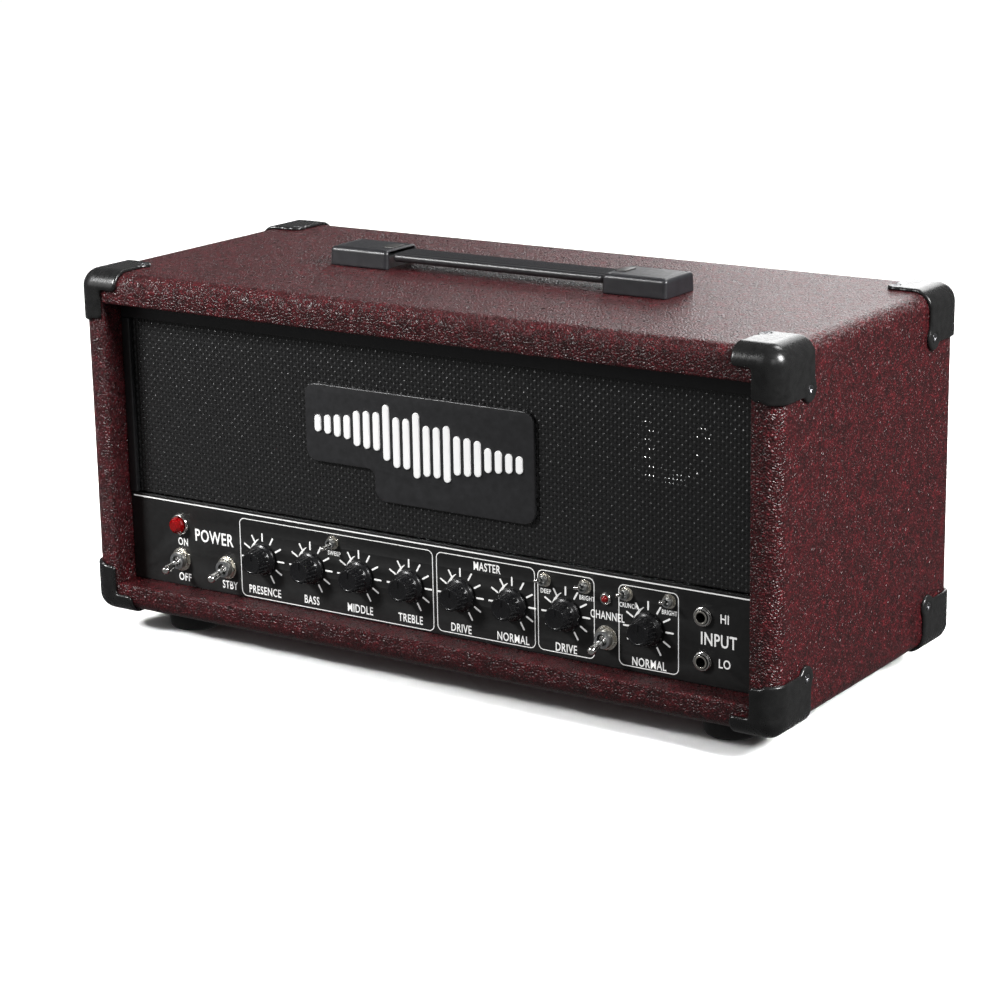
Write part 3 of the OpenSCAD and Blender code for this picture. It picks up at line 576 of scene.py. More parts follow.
def covering():
    """Skin of the cabinet's four boards, swept from a profile of (inset, depth)."""
    # recess wall at the front, lip, flat border, rounded outer edge, then the same to the back
    prof = [(20.0, YC + 1.0), (20.0, -114.0), (20.0, -120.0), (20.0, -124.0)]
    prof += arc(18.4, 1.6 - HD, 1.6, 0, -90, 5)[1:]
    prof += [(17.2, -HD), (15.0, -HD), (13.0, -HD)]
    prof += arc(ER, ER - HD, ER, -90, -180, 12)
    prof += [(0.0, y) for y in np.linspace(ER - HD, HD - ER, 54)[1:-1]]
    prof += arc(ER, HD - ER, ER, 180, 90, 12)
    prof += [(13.0, HD), (15.0, HD), (17.2, HD)]
    prof += arc(18.4, HD - 1.6, 1.6, 90, 0, 5)
    prof += [(20.0, YR + 3.0), (20.0, YR + 0.5)]
    # inner side of the skin
    prof += [(19.1, YR + 0.5), (19.1, HD - 3.0), (15.0, HD - 1.0), (11.0, HD - 1.0),
             (4.0, HD - 4.2), (1.0, HD - 11.0), (1.0, 0.0), (1.0, -HD + 11.0), (4.0, -HD + 4.2),
             (11.0, -HD + 1.0), (15.0, -HD + 1.0), (19.1, -HD + 3.0), (19.1, YC + 1.0)]
    P = np.array([ring(i, y, 1.2 if i > 11 else 1.0) for i, y in prof])
    return grid(P, close_u=True, close_v=True)


piece("vinyl_cover", [covering()], VINYL, nodes=("vinyl_covering",), sharp=50)

# ---------------------------------------------------------------- corner protectors

GT = 2.5        # thickness of a corner protector
G_LEG = 33.0    # its reach along the cabinet's edges


def guard_sdf(P):
    """Corner protector, with the cabinet towards minus on all three axes."""
    q = P + ER
    D = np.linalg.norm(np.maximum(q, 0), axis=-1) + np.minimum(q.max(-1), 0) - ER
    foot = sd_box(P, (-G_LEG, -10, -12), (9, 9, 9), 3.0)
    k = 3.0
    for lo, hi, r in (((-19, -10, -G_LEG), (9, 9, 9), 3.0), ((-G_LEG, -29, -9.5), (9, 9, 9), 3.0),
                      ((-21, -44, -9.5), (9, 9, 9), 3.0), ((-9.5, -44, -25), (9, 9, 9), 3.0),
                      ((-9.5, -30, -35), (9, 9, 9), 3.0)):
        foot = smin(foot, sd_box(P, lo, hi, r), k)
    c1 = np.maximum(np.hypot(P[..., 0] + 26, P[..., 1] + 36) - 8, -9.5 - P[..., 2])
    c2 = np.maximum(np.hypot(P[..., 1] + 38, P[..., 2] + 31) - 8.5, -9.5 - P[..., 0])
    foot = smin(smin(foot, c1, 4.0), c2, 4.0)
    g = smax(D - GT, foot, 1.8)
    # the protector stops just outside the cabinet's rounded skin
    g = np.maximum(g, -(D - 0.04))
    # countersunk screw seats
    for ax, (cx, cy) in ((2, (-29, -36)), (0, (-38, -31))):
        o = [k2 for k2 in range(3) if k2 != ax]
        rad = np.hypot(P[..., o[0]] - cx, P[..., o[1]] - cy)
        cone = np.maximum(rad - (1.9 + np.maximum(P[..., ax] - (GT - 1.5), 0) * 1.35), -1 - P[..., ax])
        g = smax(g, -cone, 0.35)
    return g


gv, gf = nets(guard_sdf, (-36.5, -48, -42.5), (4.2, 4.2, 4.2), 0.8)


def corner(part, s, mx, mz):
    """Mirrors a part made for the right, rear, top corner onto any of the eight."""
    v, f = part
    return np.array(v, float) * (mx, s, 1 if mz else -1) + (mx * HW, s * HD, ZT if mz else ZB), f


for nm, s in (("front_corner_guards", -1), ("rear_corner_guards", 1)):
    piece(nm, [corner((gv, gf), s, mx, mz) for mx in (-1, 1) for mz in (0, 1)], MOULD,
          nodes=("front_corners" if s < 0 else "rear_corners",), sharp=0)


def cross_screw(r_head, h_head, dome, shank_r, shank_l, h=0.28):
    """Screw head with a cross recess, top at z = 0, with its shank below."""
    def f(P):
        rad = np.hypot(P[..., 0], P[..., 1])
        z = P[..., 2]
        if dome:
            top = np.sqrt(np.maximum(rad ** 2 + (z + 2.2 * r_head) ** 2, 1e-9)) - 2.2 * r_head
            head = smax(smax(rad - r_head, top, 0.5), -h_head - z, 0.25)
        else:
            head = smax(smax(z, (rad - r_head) + np.maximum(-z - 0.25, 0) * 1.1, 0.25), -h_head - z, 0.2)
        sh = np.maximum(rad - shank_r, np.maximum(-shank_l - z, z + 0.4))
        g = smin(head, sh, 0.3)
        dx, dy = np.abs(P[..., 0]), np.abs(P[..., 1])
        w = 0.16 * r_head + np.maximum(z + 1.6, 0) * 0.06
        slot_ = np.minimum(np.maximum(dx - w, dy - r_head * 0.58), np.maximum(dy - w, dx - r_head * 0.58))
        slot_ = np.maximum(slot_, np.maximum(-1.25 + (dx + dy) * 0.55 - z, -1.25 - z))
        return smax(g, -slot_, 0.12)
    return nets(f, (-r_head - 0.6, -r_head - 0.6, -shank_l - 0.6), (r_head + 0.6, r_head + 0.6, 0.7), h)


scr = cross_screw(3.25, 1.35, False, 1.75, 4.0)
parts = []
for s in (-1, 1):
    for mx in (-1, 1):
        for mz in (0, 1):
            v = np.asarray(scr[0], float) + (-29, -36, GT - 0.1)
            parts.append(corner((v, scr[1]), s, mx, mz))
            v = np.asarray(scr[0], float)[:, [2, 1, 0]] + (GT - 0.1, -38, -31)
            parts.append(corner((v, scr[1]), s, mx, mz))
piece("corner_screw_heads", parts, SCREW, nodes=("corner_screws",), sharp=45)

# ---------------------------------------------------------------- feet

FOOT_X, FOOT_Y = HW - 56, HD - 44
foot = lathe(soft([(3.2, 12.0), (3.2, 10.8, 0.3), (7, 10.8, 0.4), (7, 0.0, 0.9), (16.6, 0.0, 1.6),
                   (18.4, 2.2, 0.8), (19.4, 11.0, 1.0), (19.9, 17.9, 0.8), (3.2, 17.9)], seg=4), 64)
piece("feet", [at(foot, x, y, 0, "up") for x in (-FOOT_X, FOOT_X) for y in (-FOOT_Y, FOOT_Y)], RUBBER,
      nodes=("rubber_feet",), sharp=35)

# ---------------------------------------------------------------- handle


def cap_sdf(P):
    """Right-hand end cap of the handle, hollow beneath, with its foot at z = 0."""
    x, y, z = P[..., 0], P[..., 1], P[..., 2]
    # front and back faces lean in a little towards the top, the top is slightly crowned
    Q = np.stack([x, y * (1 + 0.004 * z), z + 0.0006 * y * y], -1)
    g = sd_box(Q, (90.1, -19.9, -12), (140.9, 19.9, 13.8), 3.0)
    g = smax(g, -z + 0.05, 0.3)
    # recessed panel line round the top
    rim = np.abs(sd_box(P, (94.5, -16, 10), (137, 16, 20), 2.5)) - 0.35
    g = smax(g, -np.maximum(rim, 13.1 - z), 0.3)
    inside = sd_box(P, (80, -16.0, -5), (136.8, 16.0, 12.3), 1.5)
    return smax(g, -inside, 0.5)


cv, cf = nets(cap_sdf, (88.5, -21.5, -1.0), (142.5, 21.5, 15.5), 0.8)
parts = []
for s in (-1, 1):
    v = cv.copy()
    v[:, 0] *= s
    v[:, 2] += ZT
    parts.append((v, cf))
piece("handle_end_caps", parts, CAPS, nodes=("handle_caps",), sharp=0)
parts = [rounded_box(*sorted((s * 93, s * 102)), -7, 7, ZT + 13.0, ZT + 14.6, 0.5, 3) for s in (-1, 1)]
piece("handle_trim", parts, TRIM)


def strap(s):
    """Half of the moulded strap: rounded edges, fine ribs on top, a hollow groove beneath."""
    w, t = 14.4, 6.3
    sec = []
    n = 64
    for i in range(n + 1):
        y = -w + 2.6 + (2 * w - 5.2) * i / n
        rib = 0.22 * math.cos(y / (2 * w - 5.2) * 2 * math.pi * 9) if abs(y) < 10.5 else -0.05
        sec.append((y, t - 0.3 + rib + 0.35 * (1 - (y / w) ** 2)))
    sec += arc(w - 2.6, t / 2, 2.6, 90, -90, 10, t / 2 - 0.2)[1:-1]
    for i in range(13):
        y = w - 2.6 - (2 * w - 5.2) * i / 12
        sec.append((y, 0.1 + (0.5 if abs(y) < 7 else 0.0)))
    sec += arc(2.6 - w, t / 2, 2.6, 270, 90, 10, t / 2 - 0.2)[1:-1]
    xs = s * np.concatenate([np.linspace(0, 84, 43), np.linspace(85, 87.9, 6)])
    rows = []
    for x in xs:
        e = min(1.0, (87.9 - abs(x)) / 1.2)
        k = 0.94 + 0.06 * e
        rows.append([(x, y * k, ZT + 5.25 + (z - t / 2) * k + t / 2) for y, z in sec])
    P = np.array(rows)
    v, f = grid(P, close_v=True)
    n = P.shape[1]
    f.append(tuple(range(len(v) - n, len(v))))
    return v, f


# the strap is made as two halves that meet in the middle and reach to the caps
for nm, s in (("strap_left", -1), ("strap_right", 1)):
    half = piece(nm, [strap(s)], STRAP, body=None, nodes=("handle_strap",), sharp=45)
    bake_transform(half)

# ---------------------------------------------------------------- grille

CX, CZ0, CZ1, CY = 264.3, PZ1 + 0.5, 247.5, -105.2
WEAVE = 2.95


def cloth():
    """Basket weave: strands arch over and under, with a pinhole where four of them meet."""
    nx, nz = int(2 * CX / WEAVE), int((CZ1 - CZ0) / WEAVE)
    px, pz = 2 * CX / nx, (CZ1 - CZ0) / nz
    tx, tz = np.array([0.08, 0.3, 0.7, 0.92]), np.array([0.10, 0.5, 0.90])
    x = -CX + (np.repeat(np.arange(nx), 4) + np.tile(tx, nx)) * px
    z = CZ0 + (np.repeat(np.arange(nz), 3) + np.tile(tz, nz)) * pz
    X, Z = np.meshgrid(x, z, indexing="ij")
    # height across a strand is round, along it a low arch
    round_x, round_z = np.tile([0.0, 1.0, 1.0, 0.0], nx)[:, None], np.tile([0.0, 1.0, 0.0], nz)[None, :]
    over = (np.repeat(np.arange(nx), 4)[:, None] + np.repeat(np.arange(nz), 3)[None, :]) % 2 == 0
    rise = np.where(over, 0.58 * round_x + 0.26 * round_z, 0.46 * round_z + 0.10 * round_x)
    dice = np.random.default_rng(7)
    pull = np.repeat(np.repeat(dice.normal(0, 0.06, (nx, nz)), 4, 0), 3, 1)
    rise = rise + (pull + dice.normal(0, 0.03, rise.shape)) * np.maximum(round_x, round_z)
    Y = CY + 0.40 - rise + 0.07 * np.sin(X / 90 + Z / 55)
    P = np.stack([X + dice.normal(0, 0.05, X.shape), Y, Z + dice.normal(0, 0.05, X.shape)], -1)
    v, f = grid(P)
    nu, nv = P.shape[:2]
    f = np.array(f).reshape(nu - 1, nv - 1, 4)
    gap_x = (np.arange(nu - 1) % 4 == 3)[:, None]
    gap_z = (np.arange(nv - 1) % 3 == 2)[None, :]
    return v, f[~(gap_x & gap_z)].reshape(-1, 4).tolist()


grille = piece("grille_weave", [cloth()], CLOTH, nodes=("grille_cloth",), sharp=0)

y0, y1 = -109.4, -105.3
parts = [rounded_box(-264.6, 264.6, y0, y1, 235.3, 247.6, 0.9, 4)]
parts += [rounded_box(*sorted((s * 264.6, s * 257.7)), y0, y1, PZ1 + 0.4, 235.2, 0.9, 4) for s in (-1, 1)]
piece("grille_strips", parts, STRIP, nodes=("grille_frame",), sharp=45)

# badge: a plain contour plate with bars like a sound wave


def badge_outline(upper, lower, r, fillet):
    """Outer outline of two rounded rectangles that share their right side, the lower one narrower."""
    (ax0, az0, ax1, az1), (bx0, bz0, bx1) = upper, lower
    return (arc(ax1 - r, az1 - r, r, 0, 90, 8) + arc(ax0 + r, az1 - r, r, 90, 180, 8)
            + arc(ax0 + r, az0 + r, r, 180, 270, 8) + arc(bx0 - fillet, az0 - fillet, fillet, 90, 0, 8)
            + arc(bx0 + r, bz0 + r, r, 180, 270, 8) + arc(bx1 - r, bz0 + r, r, 270, 360, 8))


bd = badge_outline((-99, ZB + 131, 92, ZB + 187), (-40, ZB + 109, 92), 9, 6)
piece("badge_body", [upright(cut_plate([bd], 2.9, 0.9, 4), -105.4)], BADGE, nodes=("badge_plate",),
      sharp=35)
parts = []
for i in range(-10, 11):
    x = -3.5 + i * 8.4
    a = 6 + 17 * math.cos(math.radians(i * 8.6)) ** 2 * (0.45 + 0.55 * abs(math.cos(math.radians(i * 62))))
    c = ZB + (153 - (3 if i > 0 else 0) if i > -3 else 159)
    parts.append(upright(cut_plate([rrect(x - 2.6, c - a, x + 2.6, c + a, 2.59)], 1.5, 0.45, 3), -108.2))
piece("badge_bars", parts, WHITE, nodes=("badge_emblem",), sharp=35)

# ---------------------------------------------------------------- control panel

holes = [circle(x, POT_Z, 4.85) for x in POTS.values()]
holes += [circle(x, BIG_Z, 6.05) for x in BIG.values()]
holes += [circle(x, MINI_Z, 3.2, 24) for x, _ in MINI.values()]
holes += [circle(220.6, ZB + h, 4.85) for h in (67, 36.6)]
holes += [circle(-218.9, ZB + 66.8, 6.05), circle(146.9, ZB + 67.4, 3.05, 24)]
piece("control_panel", [upright(cut_plate([rrect(-264.5, 38.4, 264.5, PZ1 - 0.1, 0.6, 2)] + holes,
                                          1.95, 0.3, 2), YC - 0.02)],
      PANEL, nodes=("front_panel",), sharp=35)


def line(x0, z0, x1, z1, w):
    """Outline of a straight stroke with round ends."""
    a = math.degrees(math.atan2(z1 - z0, x1 - x0))
    return arc(x1, z1, w / 2, a - 90, a + 90, 6) + arc(x0, z0, w / 2, a + 90, a + 270, 6)


ink = [flat_ink([line(-262, ZB + 83.5, 257, ZB + 83.5, 0.9)])]
for x0, x1, h0, h1 in ((-163, 7.3, 21.5, 80), (10, 91, 23, 80), (93, 138, 23.5, 80),
                       (156.6, 202.5, 23.5, 79.5)):
    ink.append(flat_ink([rrect(x0, ZB + h0, x1, ZB + h1, 4.5, 8),
                         rrect(x0 + 0.6, ZB + h0 + 0.6, x1 - 0.6, ZB + h1 - 0.6, 3.9, 8)]))
for x in POTS.values():
    marks = []
    for k in range(1, 11):
        a = math.radians(240 - 30 * k)
        c, s = math.cos(a), math.sin(a)
        # the first mark is a dot beyond the thick end of the painted highlight crescent
        r0, r1 = (17.6, 18.1) if k == 1 else (13.6, 18.8)
        marks.append(line(x + r0 * c, POT_Z + r0 * s, x + r1 * c, POT_Z + r1 * s, 1.25))
    ink.append(flat_ink(marks))
    # painted highlight: a crescent of white ink, centred off the pot, stands for the light's reflection off
    # each knob's rim, thick at its lower end and tapering
    painted_glint_outer, painted_glint_inner = [], []
    for k in range(19):
        t = k / 18
        a = math.radians(183 - 62 * t)
        w = 2.7 * (1 - t) ** 0.8 + 0.35
        cx, cz, R = x + 4.15, POT_Z + 2.2, 14.3
        painted_glint_outer.append((cx + (R + w / 2) * math.cos(a), cz + (R + w / 2) * math.sin(a)))
        painted_glint_inner.append((cx + (R - w / 2) * math.cos(a), cz + (R - w / 2) * math.sin(a)))
    ink.append(flat_ink([painted_glint_outer + painted_glint_inner[::-1]], 0.06))
for s, x in (("PRESENCE", -141.7), ("BASS", -99.2), ("MIDDLE", -56.4), ("TREBLE", -12.8),
             ("DRIVE", 29.9), ("NORMAL", 72.6), ("DRIVE", 115.3), ("NORMAL", 179.8)):
    ink.append(text(s, 6.1, x, ZB + 27.4, 0.72))
for s, x, h, size, wide in (("MASTER", 52, 74.1, 6.0, 0.70), ("CHANNEL", 147.9, 55.4, 5.8, 0.68),
                            ("SWEEP", -77.9, 65.2, 3.3, 0.78), ("DEEP", 99.5, 65.2, 3.3, 0.78),
                            ("BRIGHT", 132, 65.2, 3.3, 0.72), ("CRUNCH", 164.2, 65.2, 3.3, 0.70),
                            ("BRIGHT", 195.4, 65.2, 3.3, 0.70), ("ON", -216.8, 53.6, 5.8, 0.74),
                            ("OFF", -216.4, 26.8, 6.0, 0.78), ("STBY", -174.1, 27.0, 6.0, 0.72),
                            ("POWER", -187.5, 60.5, 9.4, 0.76), ("HI", 236.5, 67.1, 6.2, 0.80),
                            ("LO", 236.5, 36.7, 6.2, 0.80), ("INPUT", 232, 51.8, 8.8, 0.74)):
    ink.append(text(s, size, x, ZB + h, wide))
# real print, plus the painted highlight crescents beside the knobs
piece("panel_print_and_painted_glints", [upright(p, YP - 0.02) for p in ink], INK, sharp=30)

# ---------------------------------------------------------------- knobs

FL = 18        # grooves round a knob


def flutes(a, r, z):
    """Radius rule for the knob's grooves, which fade out at its skirt and crown."""
    out = np.full(len(a), float(r))
    if 4.6 < z:
        k = np.clip((z - 4.6) / 1.2, 0, 1) * (1 if z < 13.7 else 0.5)
        c = np.abs((a * FL / (2 * np.pi)) % 1 - 0.5) * 2      # 0 in the middle of a groove
        dip = np.sqrt(np.clip(1 - (c / 0.52) ** 2, 0, 1))
        out = out - 0.8 * k * dip * (1 if r > 6.7 else 0)
    return out


kp = soft([(3.2, -0.4), (7.9, -0.4, 0.1), (7.9, 0.0, 0.1), (11.6, 0.0, 0.4), (11.95, 0.6, 0.4),
           (11.4, 2.2, 0.5), (9.5, 3.5, 0.9), (9.1, 4.6, 0.3)], seg=4)
kp += [(9.1 - 0.8 * t, 4.6 + 8.0 * t) for t in np.linspace(0.05, 1, 9)]
kp += soft([(8.3, 12.6), (8.2, 13.9, 1.1), (6.6, 13.92), (6.2, 13.6, 0.4), (0, 13.3)], seg=5)[1:]
knob = lathe([(0, -0.4)] + kp, FL * 10, flutes)
for nm, x in POTS.items():
    k = at(knob, x, YP - 0.62, POT_Z, "front")
    shaft = at(lathe(soft([(0, -9.5), (3.1, -9.5, 0.3), (3.1, 0.0), (0, 0.0)]), 24), x, YP - 0.62, POT_Z)
    # a raised pointer rib across the crown, set between two flutes
    rib = at(rounded_box(-0.5, 0.5, 2.0, 8.0, 13.0, 14.2, 0.3, 2), x, YP - 0.62, POT_Z)
    piece(nm + "_cap", [k, rib], KNOB, body=nm, nodes=(nm,), sharp=38)
    piece(nm + "_shaft", [shaft], NICKEL, body=nm)

# ---------------------------------------------------------------- switches


def hexed(af):
    """Radius rule for a hexagon with its corners turned down, af across its flats."""
    def mod(a, r, z):
        if r > af * 0.45:
            hx = af / 2 / np.cos((a + np.pi / 6) % (np.pi / 3) - np.pi / 6)
            return np.minimum(hx, r)
        return np.full(len(a), float(r))
    return mod


def nut(af, bore, h):
    """Hexagon nut."""
    R = af / 2 / math.cos(math.radians(30))
    prof = [(bore, 0.0), (R * 0.93, 0.0), (R * 1.01, 0.14 * h), (R * 1.01, 0.80 * h),
            (R * 0.955, 0.93 * h), (R * 0.90, h), (bore + 0.5, h), (bore, h - 0.4)]
    return lathe(prof, 72, hexed(af), loop=True)


def threads(r, z0, z1, bore, pitch=0.9):
    """Threaded bush, with a ring for each turn."""
    prof = [(bore, z0)]
    n = int((z1 - z0) / pitch)
    for i in range(n):
        z = z0 + i * pitch
        prof += [(r - 0.28, z), (r, z + pitch * 0.35), (r, z + pitch * 0.55), (r - 0.28, z + pitch * 0.9)]
    prof += [(r - 0.35, z1 - 0.15), (r - 0.6, z1), (bore + 0.35, z1), (bore, z1 - 0.3)]
    return lathe(prof, 48, loop=True)


def ring_part(ro, ri, h, soften=0.25):
    """Flat washer with softened edges."""
    return lathe(soft([(ri, 0, 0), (ro, 0, soften), (ro, h, soften), (ri, h, soften)], closed=True,
                      seg=3), 56, loop=True)


parts = []
for i, x in enumerate(POTS.values()):
    parts.append(at(nut(12.7, 4.85, 2.1), x, YP - 0.02, POT_Z, turn=11 * i))
for i, x in enumerate(BIG.values()):
    parts.append(at(ring_part(8.55, 6.02, 0.8), x, YP - 0.02, BIG_Z))
    parts.append(at(nut(14, 6.02, 2.4), x, YP - 0.9, BIG_Z, turn=(8, 26, 14)[i]))
for i, (x, _) in enumerate(MINI.values()):
    parts.append(at(ring_part(4.95, 3.16, 0.5, 0.15), x, YP - 0.02, MINI_Z))
    parts.append(at(nut(8, 3.16, 1.8), x, YP - 0.6, MINI_Z, turn=(5, 20, 12, 27, 3)[i]))
piece("control_nuts", parts, NICKEL, nodes=("panel_nuts",), sharp=35)

parts = []
for x in BIG.values():
    parts.append(at(threads(5.92, 2.0, 6.35, 4.1), x, YP + 3.3 - 1.4, BIG_Z))
for x, _ in MINI.values():
    parts.append(at(threads(3.08, 2.0, 5.0, 2.38, 0.6), x, YP + 2.1, MINI_Z))
piece("switch_bushings", parts, NICKEL, sharp=40)


def bat(ball, shank, tip, l, n=40):
    """Toggle lever: a ball, and a shank that swells to a round tip."""
    prof = [(0, -ball)] + arc(0, 0, ball, -80, 40, 12)
    z0 = math.sqrt(max(ball ** 2 - shank ** 2, 0)) + 0.3
    prof.append((shank, z0))
    for t in np.linspace(0.1, 1, 10):
        prof.append((shank + (tip - shank) * (t ** 1.35), z0 + (l - tip - z0) * t))
    prof += arc(0, l - tip, tip, 10, 80, 7) + [(0, l)]
    return lathe(prof, n)


for nm, x in BIG.items():
    piece(nm + "_bat", [at(bat(3.95, 1.95, 3.15, 19.3), x, YP - 2.5, BIG_Z, tilt=13.5)], CHROME,
          body=nm, nodes=(nm,), sharp=60)
for nm, (x, d) in MINI.items():
    piece(nm + "_bat", [at(bat(2.25, 0.95, 1.48, 11.4, 32), x, YP - 1.8, MINI_Z, tilt=12.0 * d)],
          CHROME, body=nm, nodes=(nm,), sharp=60)

# ---------------------------------------------------------------- jacks and lamps


def knurled(a, r, z):
    """Radius rule for a knurled rim."""
    if r > 6.2:
        return r - 0.12 * (1 + np.cos(a * 40)) / 2
    return np.full(len(a), float(r))


jn = lathe(soft([(4.85, 0), (6.55, 0, 0.15), (6.55, 0.9, 0.3), (6.25, 1.0, 0.1), (6.25, 2.3, 0.35),
                 (5.7, 2.58, 0.2), (5.1, 2.6, 0.1), (4.85, 2.3)], closed=True, seg=3), 160, knurled,
           loop=True)
jb = lathe(soft([(3.35, -3), (4.7, -3), (4.7, 3.55, 0.3), (3.35, 3.6, 0.35)], closed=True, seg=3), 48,
           loop=True)
jt = lathe([(3.3, -24), (3.3, 3.0), (3.45, 3.0), (3.45, -24.2), (0.0, -24.2), (0.0, -24.0)], 40)
parts, bushes, bores = [], [], []
for h in (67, 36.6):
    parts.append(at(jn, 220.6, YP - 0.02, ZB + h))
    bushes.append(at(jb, 220.6, YP, ZB + h))
    bores.append(at(jt, 220.6, YP, ZB + h))
for x in REAR_JACKS:
    parts.append(at(jn, x, YR + 2.02, REAR_Z, "rear"))
    bushes.append(at(jb, x, YR + 2.0, REAR_Z, "rear"))
    bores.append(at(jt, x, YR + 2.0, REAR_Z, "rear"))
piece("jack_ring_nuts", parts, CHROME, nodes=("jack_nuts",), sharp=35)
piece("jack_bushings", bushes, NICKEL, sharp=35)
piece("jack_bores", bores, BORE, sharp=35)

bez = lathe(soft([(5.95, -1.0), (7.9, 0.0, 0.2), (7.95, 0.9, 0.7), (7.3, 2.3, 0.6), (6.5, 2.4, 0.25),
                  (5.95, 1.9, 0.2)], closed=True, seg=4), 72, loop=True)
bez2 = lathe(soft([(2.56, -1.0), (4.25, 0.0, 0.15), (4.25, 0.6, 0.4), (3.5, 1.75, 0.4),
                   (2.7, 1.75, 0.15)], closed=True, seg=4), 56, loop=True)
piece("lamp_rings", [at(bez, -218.9, YP - 0.02, ZB + 66.8), at(bez2, 146.9, YP - 0.02, ZB + 67.4)],
      CHROME, nodes=("lamp_bezels",), sharp=35)


def jewel():
    """Faceted lens: a girdle, two rows of facets and a flat table."""
    n = 12
    rows = [(5.1, -2.0, 0), (5.1, 2.2, 0), (6.3, 2.9, 0), (6.35, 4.2, 0.5), (5.2, 6.4, 0),
            (3.3, 8.0, 0.5)]
    v, f = [], []
    for r, z, off in rows:
        for i in range(n):
            a = (i + off) * 2 * math.pi / n
            v.append((r * math.cos(a), r * math.sin(a), z))
    for k in range(len(rows) - 1):
        o0, o1 = rows[k][2], rows[k + 1][2]
        for i in range(n):
            j = (i + 1) % n
            a, b, c, d = k * n + i, k * n + j, (k + 1) * n + i, (k + 1) * n + j
            if o0 == o1:
                f.append((a, b, d, c))
            elif o1 > o0:
                f += [(a, b, c), (b, d, c)]
            else:
                f += [(a, d, c), (a, b, d)]
    f.append(tuple(range((len(rows) - 1) * n, len(rows) * n)))
    f.append(tuple(range(n))[::-1])
    return np.array(v), f


piece("lamp_jewel", [at(jewel(), -218.9, YP - 0.02, ZB + 66.8)], RED, nodes=("pilot_jewel",), sharp=8)
led = lathe([(0, -2), (2.45, -2), (2.45, 1.6)] + [(2.45 * math.cos(t), 1.6 + 2.45 * math.sin(t))
            for t in np.linspace(0.12, 1.45, 9)] + [(0, 4.05)], 36)
piece("channel_lamp", [at(led, 146.9, YP - 0.02, ZB + 67.4)], LED, nodes=("channel_led",), sharp=50)

# ---------------------------------------------------------------- back

perf = [circle((i - 13.5 + (j % 2) / 2) * 8, PZ1 + 7 + j * 6.93, 2.5, 20)
        for j in range(6) for i in range(28 - (j % 2))]
vs = [(x, z) for x in (-124, 124) for z in (PZ1 + 9, ZB + 132)] + [(-70, ZB + 139), (70, ZB + 139)]
piece("vent_sheet", [upright(cut_plate([rrect(-129.9, PZ1 + 1.1, 129.9, ZB + 143.9, 3, 6)] + perf,
                                       1.45, 0.25, 2), YR + 5.02, "rear")],
      GRILLE, nodes=("vent_grille",), sharp=35)
board = [(-264.4, PZ1 + 0.6), (-118, PZ1 + 0.6), (-118, ZB + 134), (118, ZB + 134), (118, PZ1 + 0.6),
         (264.4, PZ1 + 0.6), (264.4, 247.4), (-264.4, 247.4)]
piece("rear_board", [upright(cut_plate([soft([(x, z, 0.8) for x, z in board], closed=True, seg=3)], 4.95,
                                       0.5, 3), YR + 0.02, "rear")],
      BACK, nodes=("back_panel",), sharp=35)
holes = [circle(x, REAR_Z, 4.85) for x in REAR_JACKS] + [circle(-140, REAR_Z, 6.05)]
holes.append(rrect(-190 - 13.9, REAR_Z - 10.4, -190 + 13.9, REAR_Z + 10.4, 1.0, 3))
piece("rear_panel", [upright(cut_plate([rrect(-264.3, 38.4, 264.3, PZ1 - 0.6, 0.8, 3)] + holes,
                                       1.95, 0.3, 2), YR + 0.02, "rear")],
      PANEL, nodes=("rear_plate",), sharp=35)
marks = [flat_ink([rrect(-52, REAR_Z - 17, 4, REAR_Z + 20, 3, 6), rrect(-51.5, REAR_Z - 16.5, 3.5,
                   REAR_Z + 19.5, 2.5, 6)]),
         flat_ink([rrect(28, REAR_Z - 17, 84, REAR_Z + 20, 3, 6), rrect(28.5, REAR_Z - 16.5, 83.5,
                   REAR_Z + 19.5, 2.5, 6)])]
rear_ink = []
for s, x, z, size in (("SPEAKER", -24, 14.5, 4.2), ("A", -40, -12, 3.6), ("B", -8, -12, 3.6),
                      ("LOOP", 56, 14.5, 4.2), ("SEND", 40, -12, 3.4), ("RETURN", 72, -12, 3.4),
                      ("FOOTSWITCH", 120, 14.5, 3.6), ("MAINS", -190, 19, 4.2), ("FUSE", -140, 14.5, 4.2)):
    v, f = text(s, size, 0, REAR_Z + z, 0.72)
    v[:, 0] = x - v[:, 0]
    rear_ink.append((v, f))
piece("rear_print", [upright(p, YR + 2.02, "rear") for p in marks + rear_ink], INK, sharp=30)


def inlet():
    """Mains inlet: a flange with screw seats, and a pit with two cut corners."""
    def f(P):
        x, y, z = P[..., 0], P[..., 1], P[..., 2]
        flange = sd_box(P, (-23.9, 2.05, -13.4), (23.9, 4.95, 13.4), 1.2)
        shell = sd_box(P, (-13.5, -19.5, -10.0), (13.5, 3.5, 10.0), 0.6)
        g = smin(flange, shell, 0.4)
        pit = sd_box(P, (-11.9, -15.5, -7.9), (11.9, 12, 7.9), 1.0)
        cut = (np.abs(x) + z - 14.6) / 1.414
        pit = np.maximum(pit, cut)
        g = smax(g, -pit, 0.35)
        for sx in (-20, 20):
            h = np.maximum(np.hypot(x - sx, z) - (1.7 + np.maximum(y - 3.3, 0) * 1.1), -y)
            g = smax(g, -h, 0.2)
        return g
    return nets(f, (-25, -20.5, -14.5), (25, 6, 14.5), 0.55)


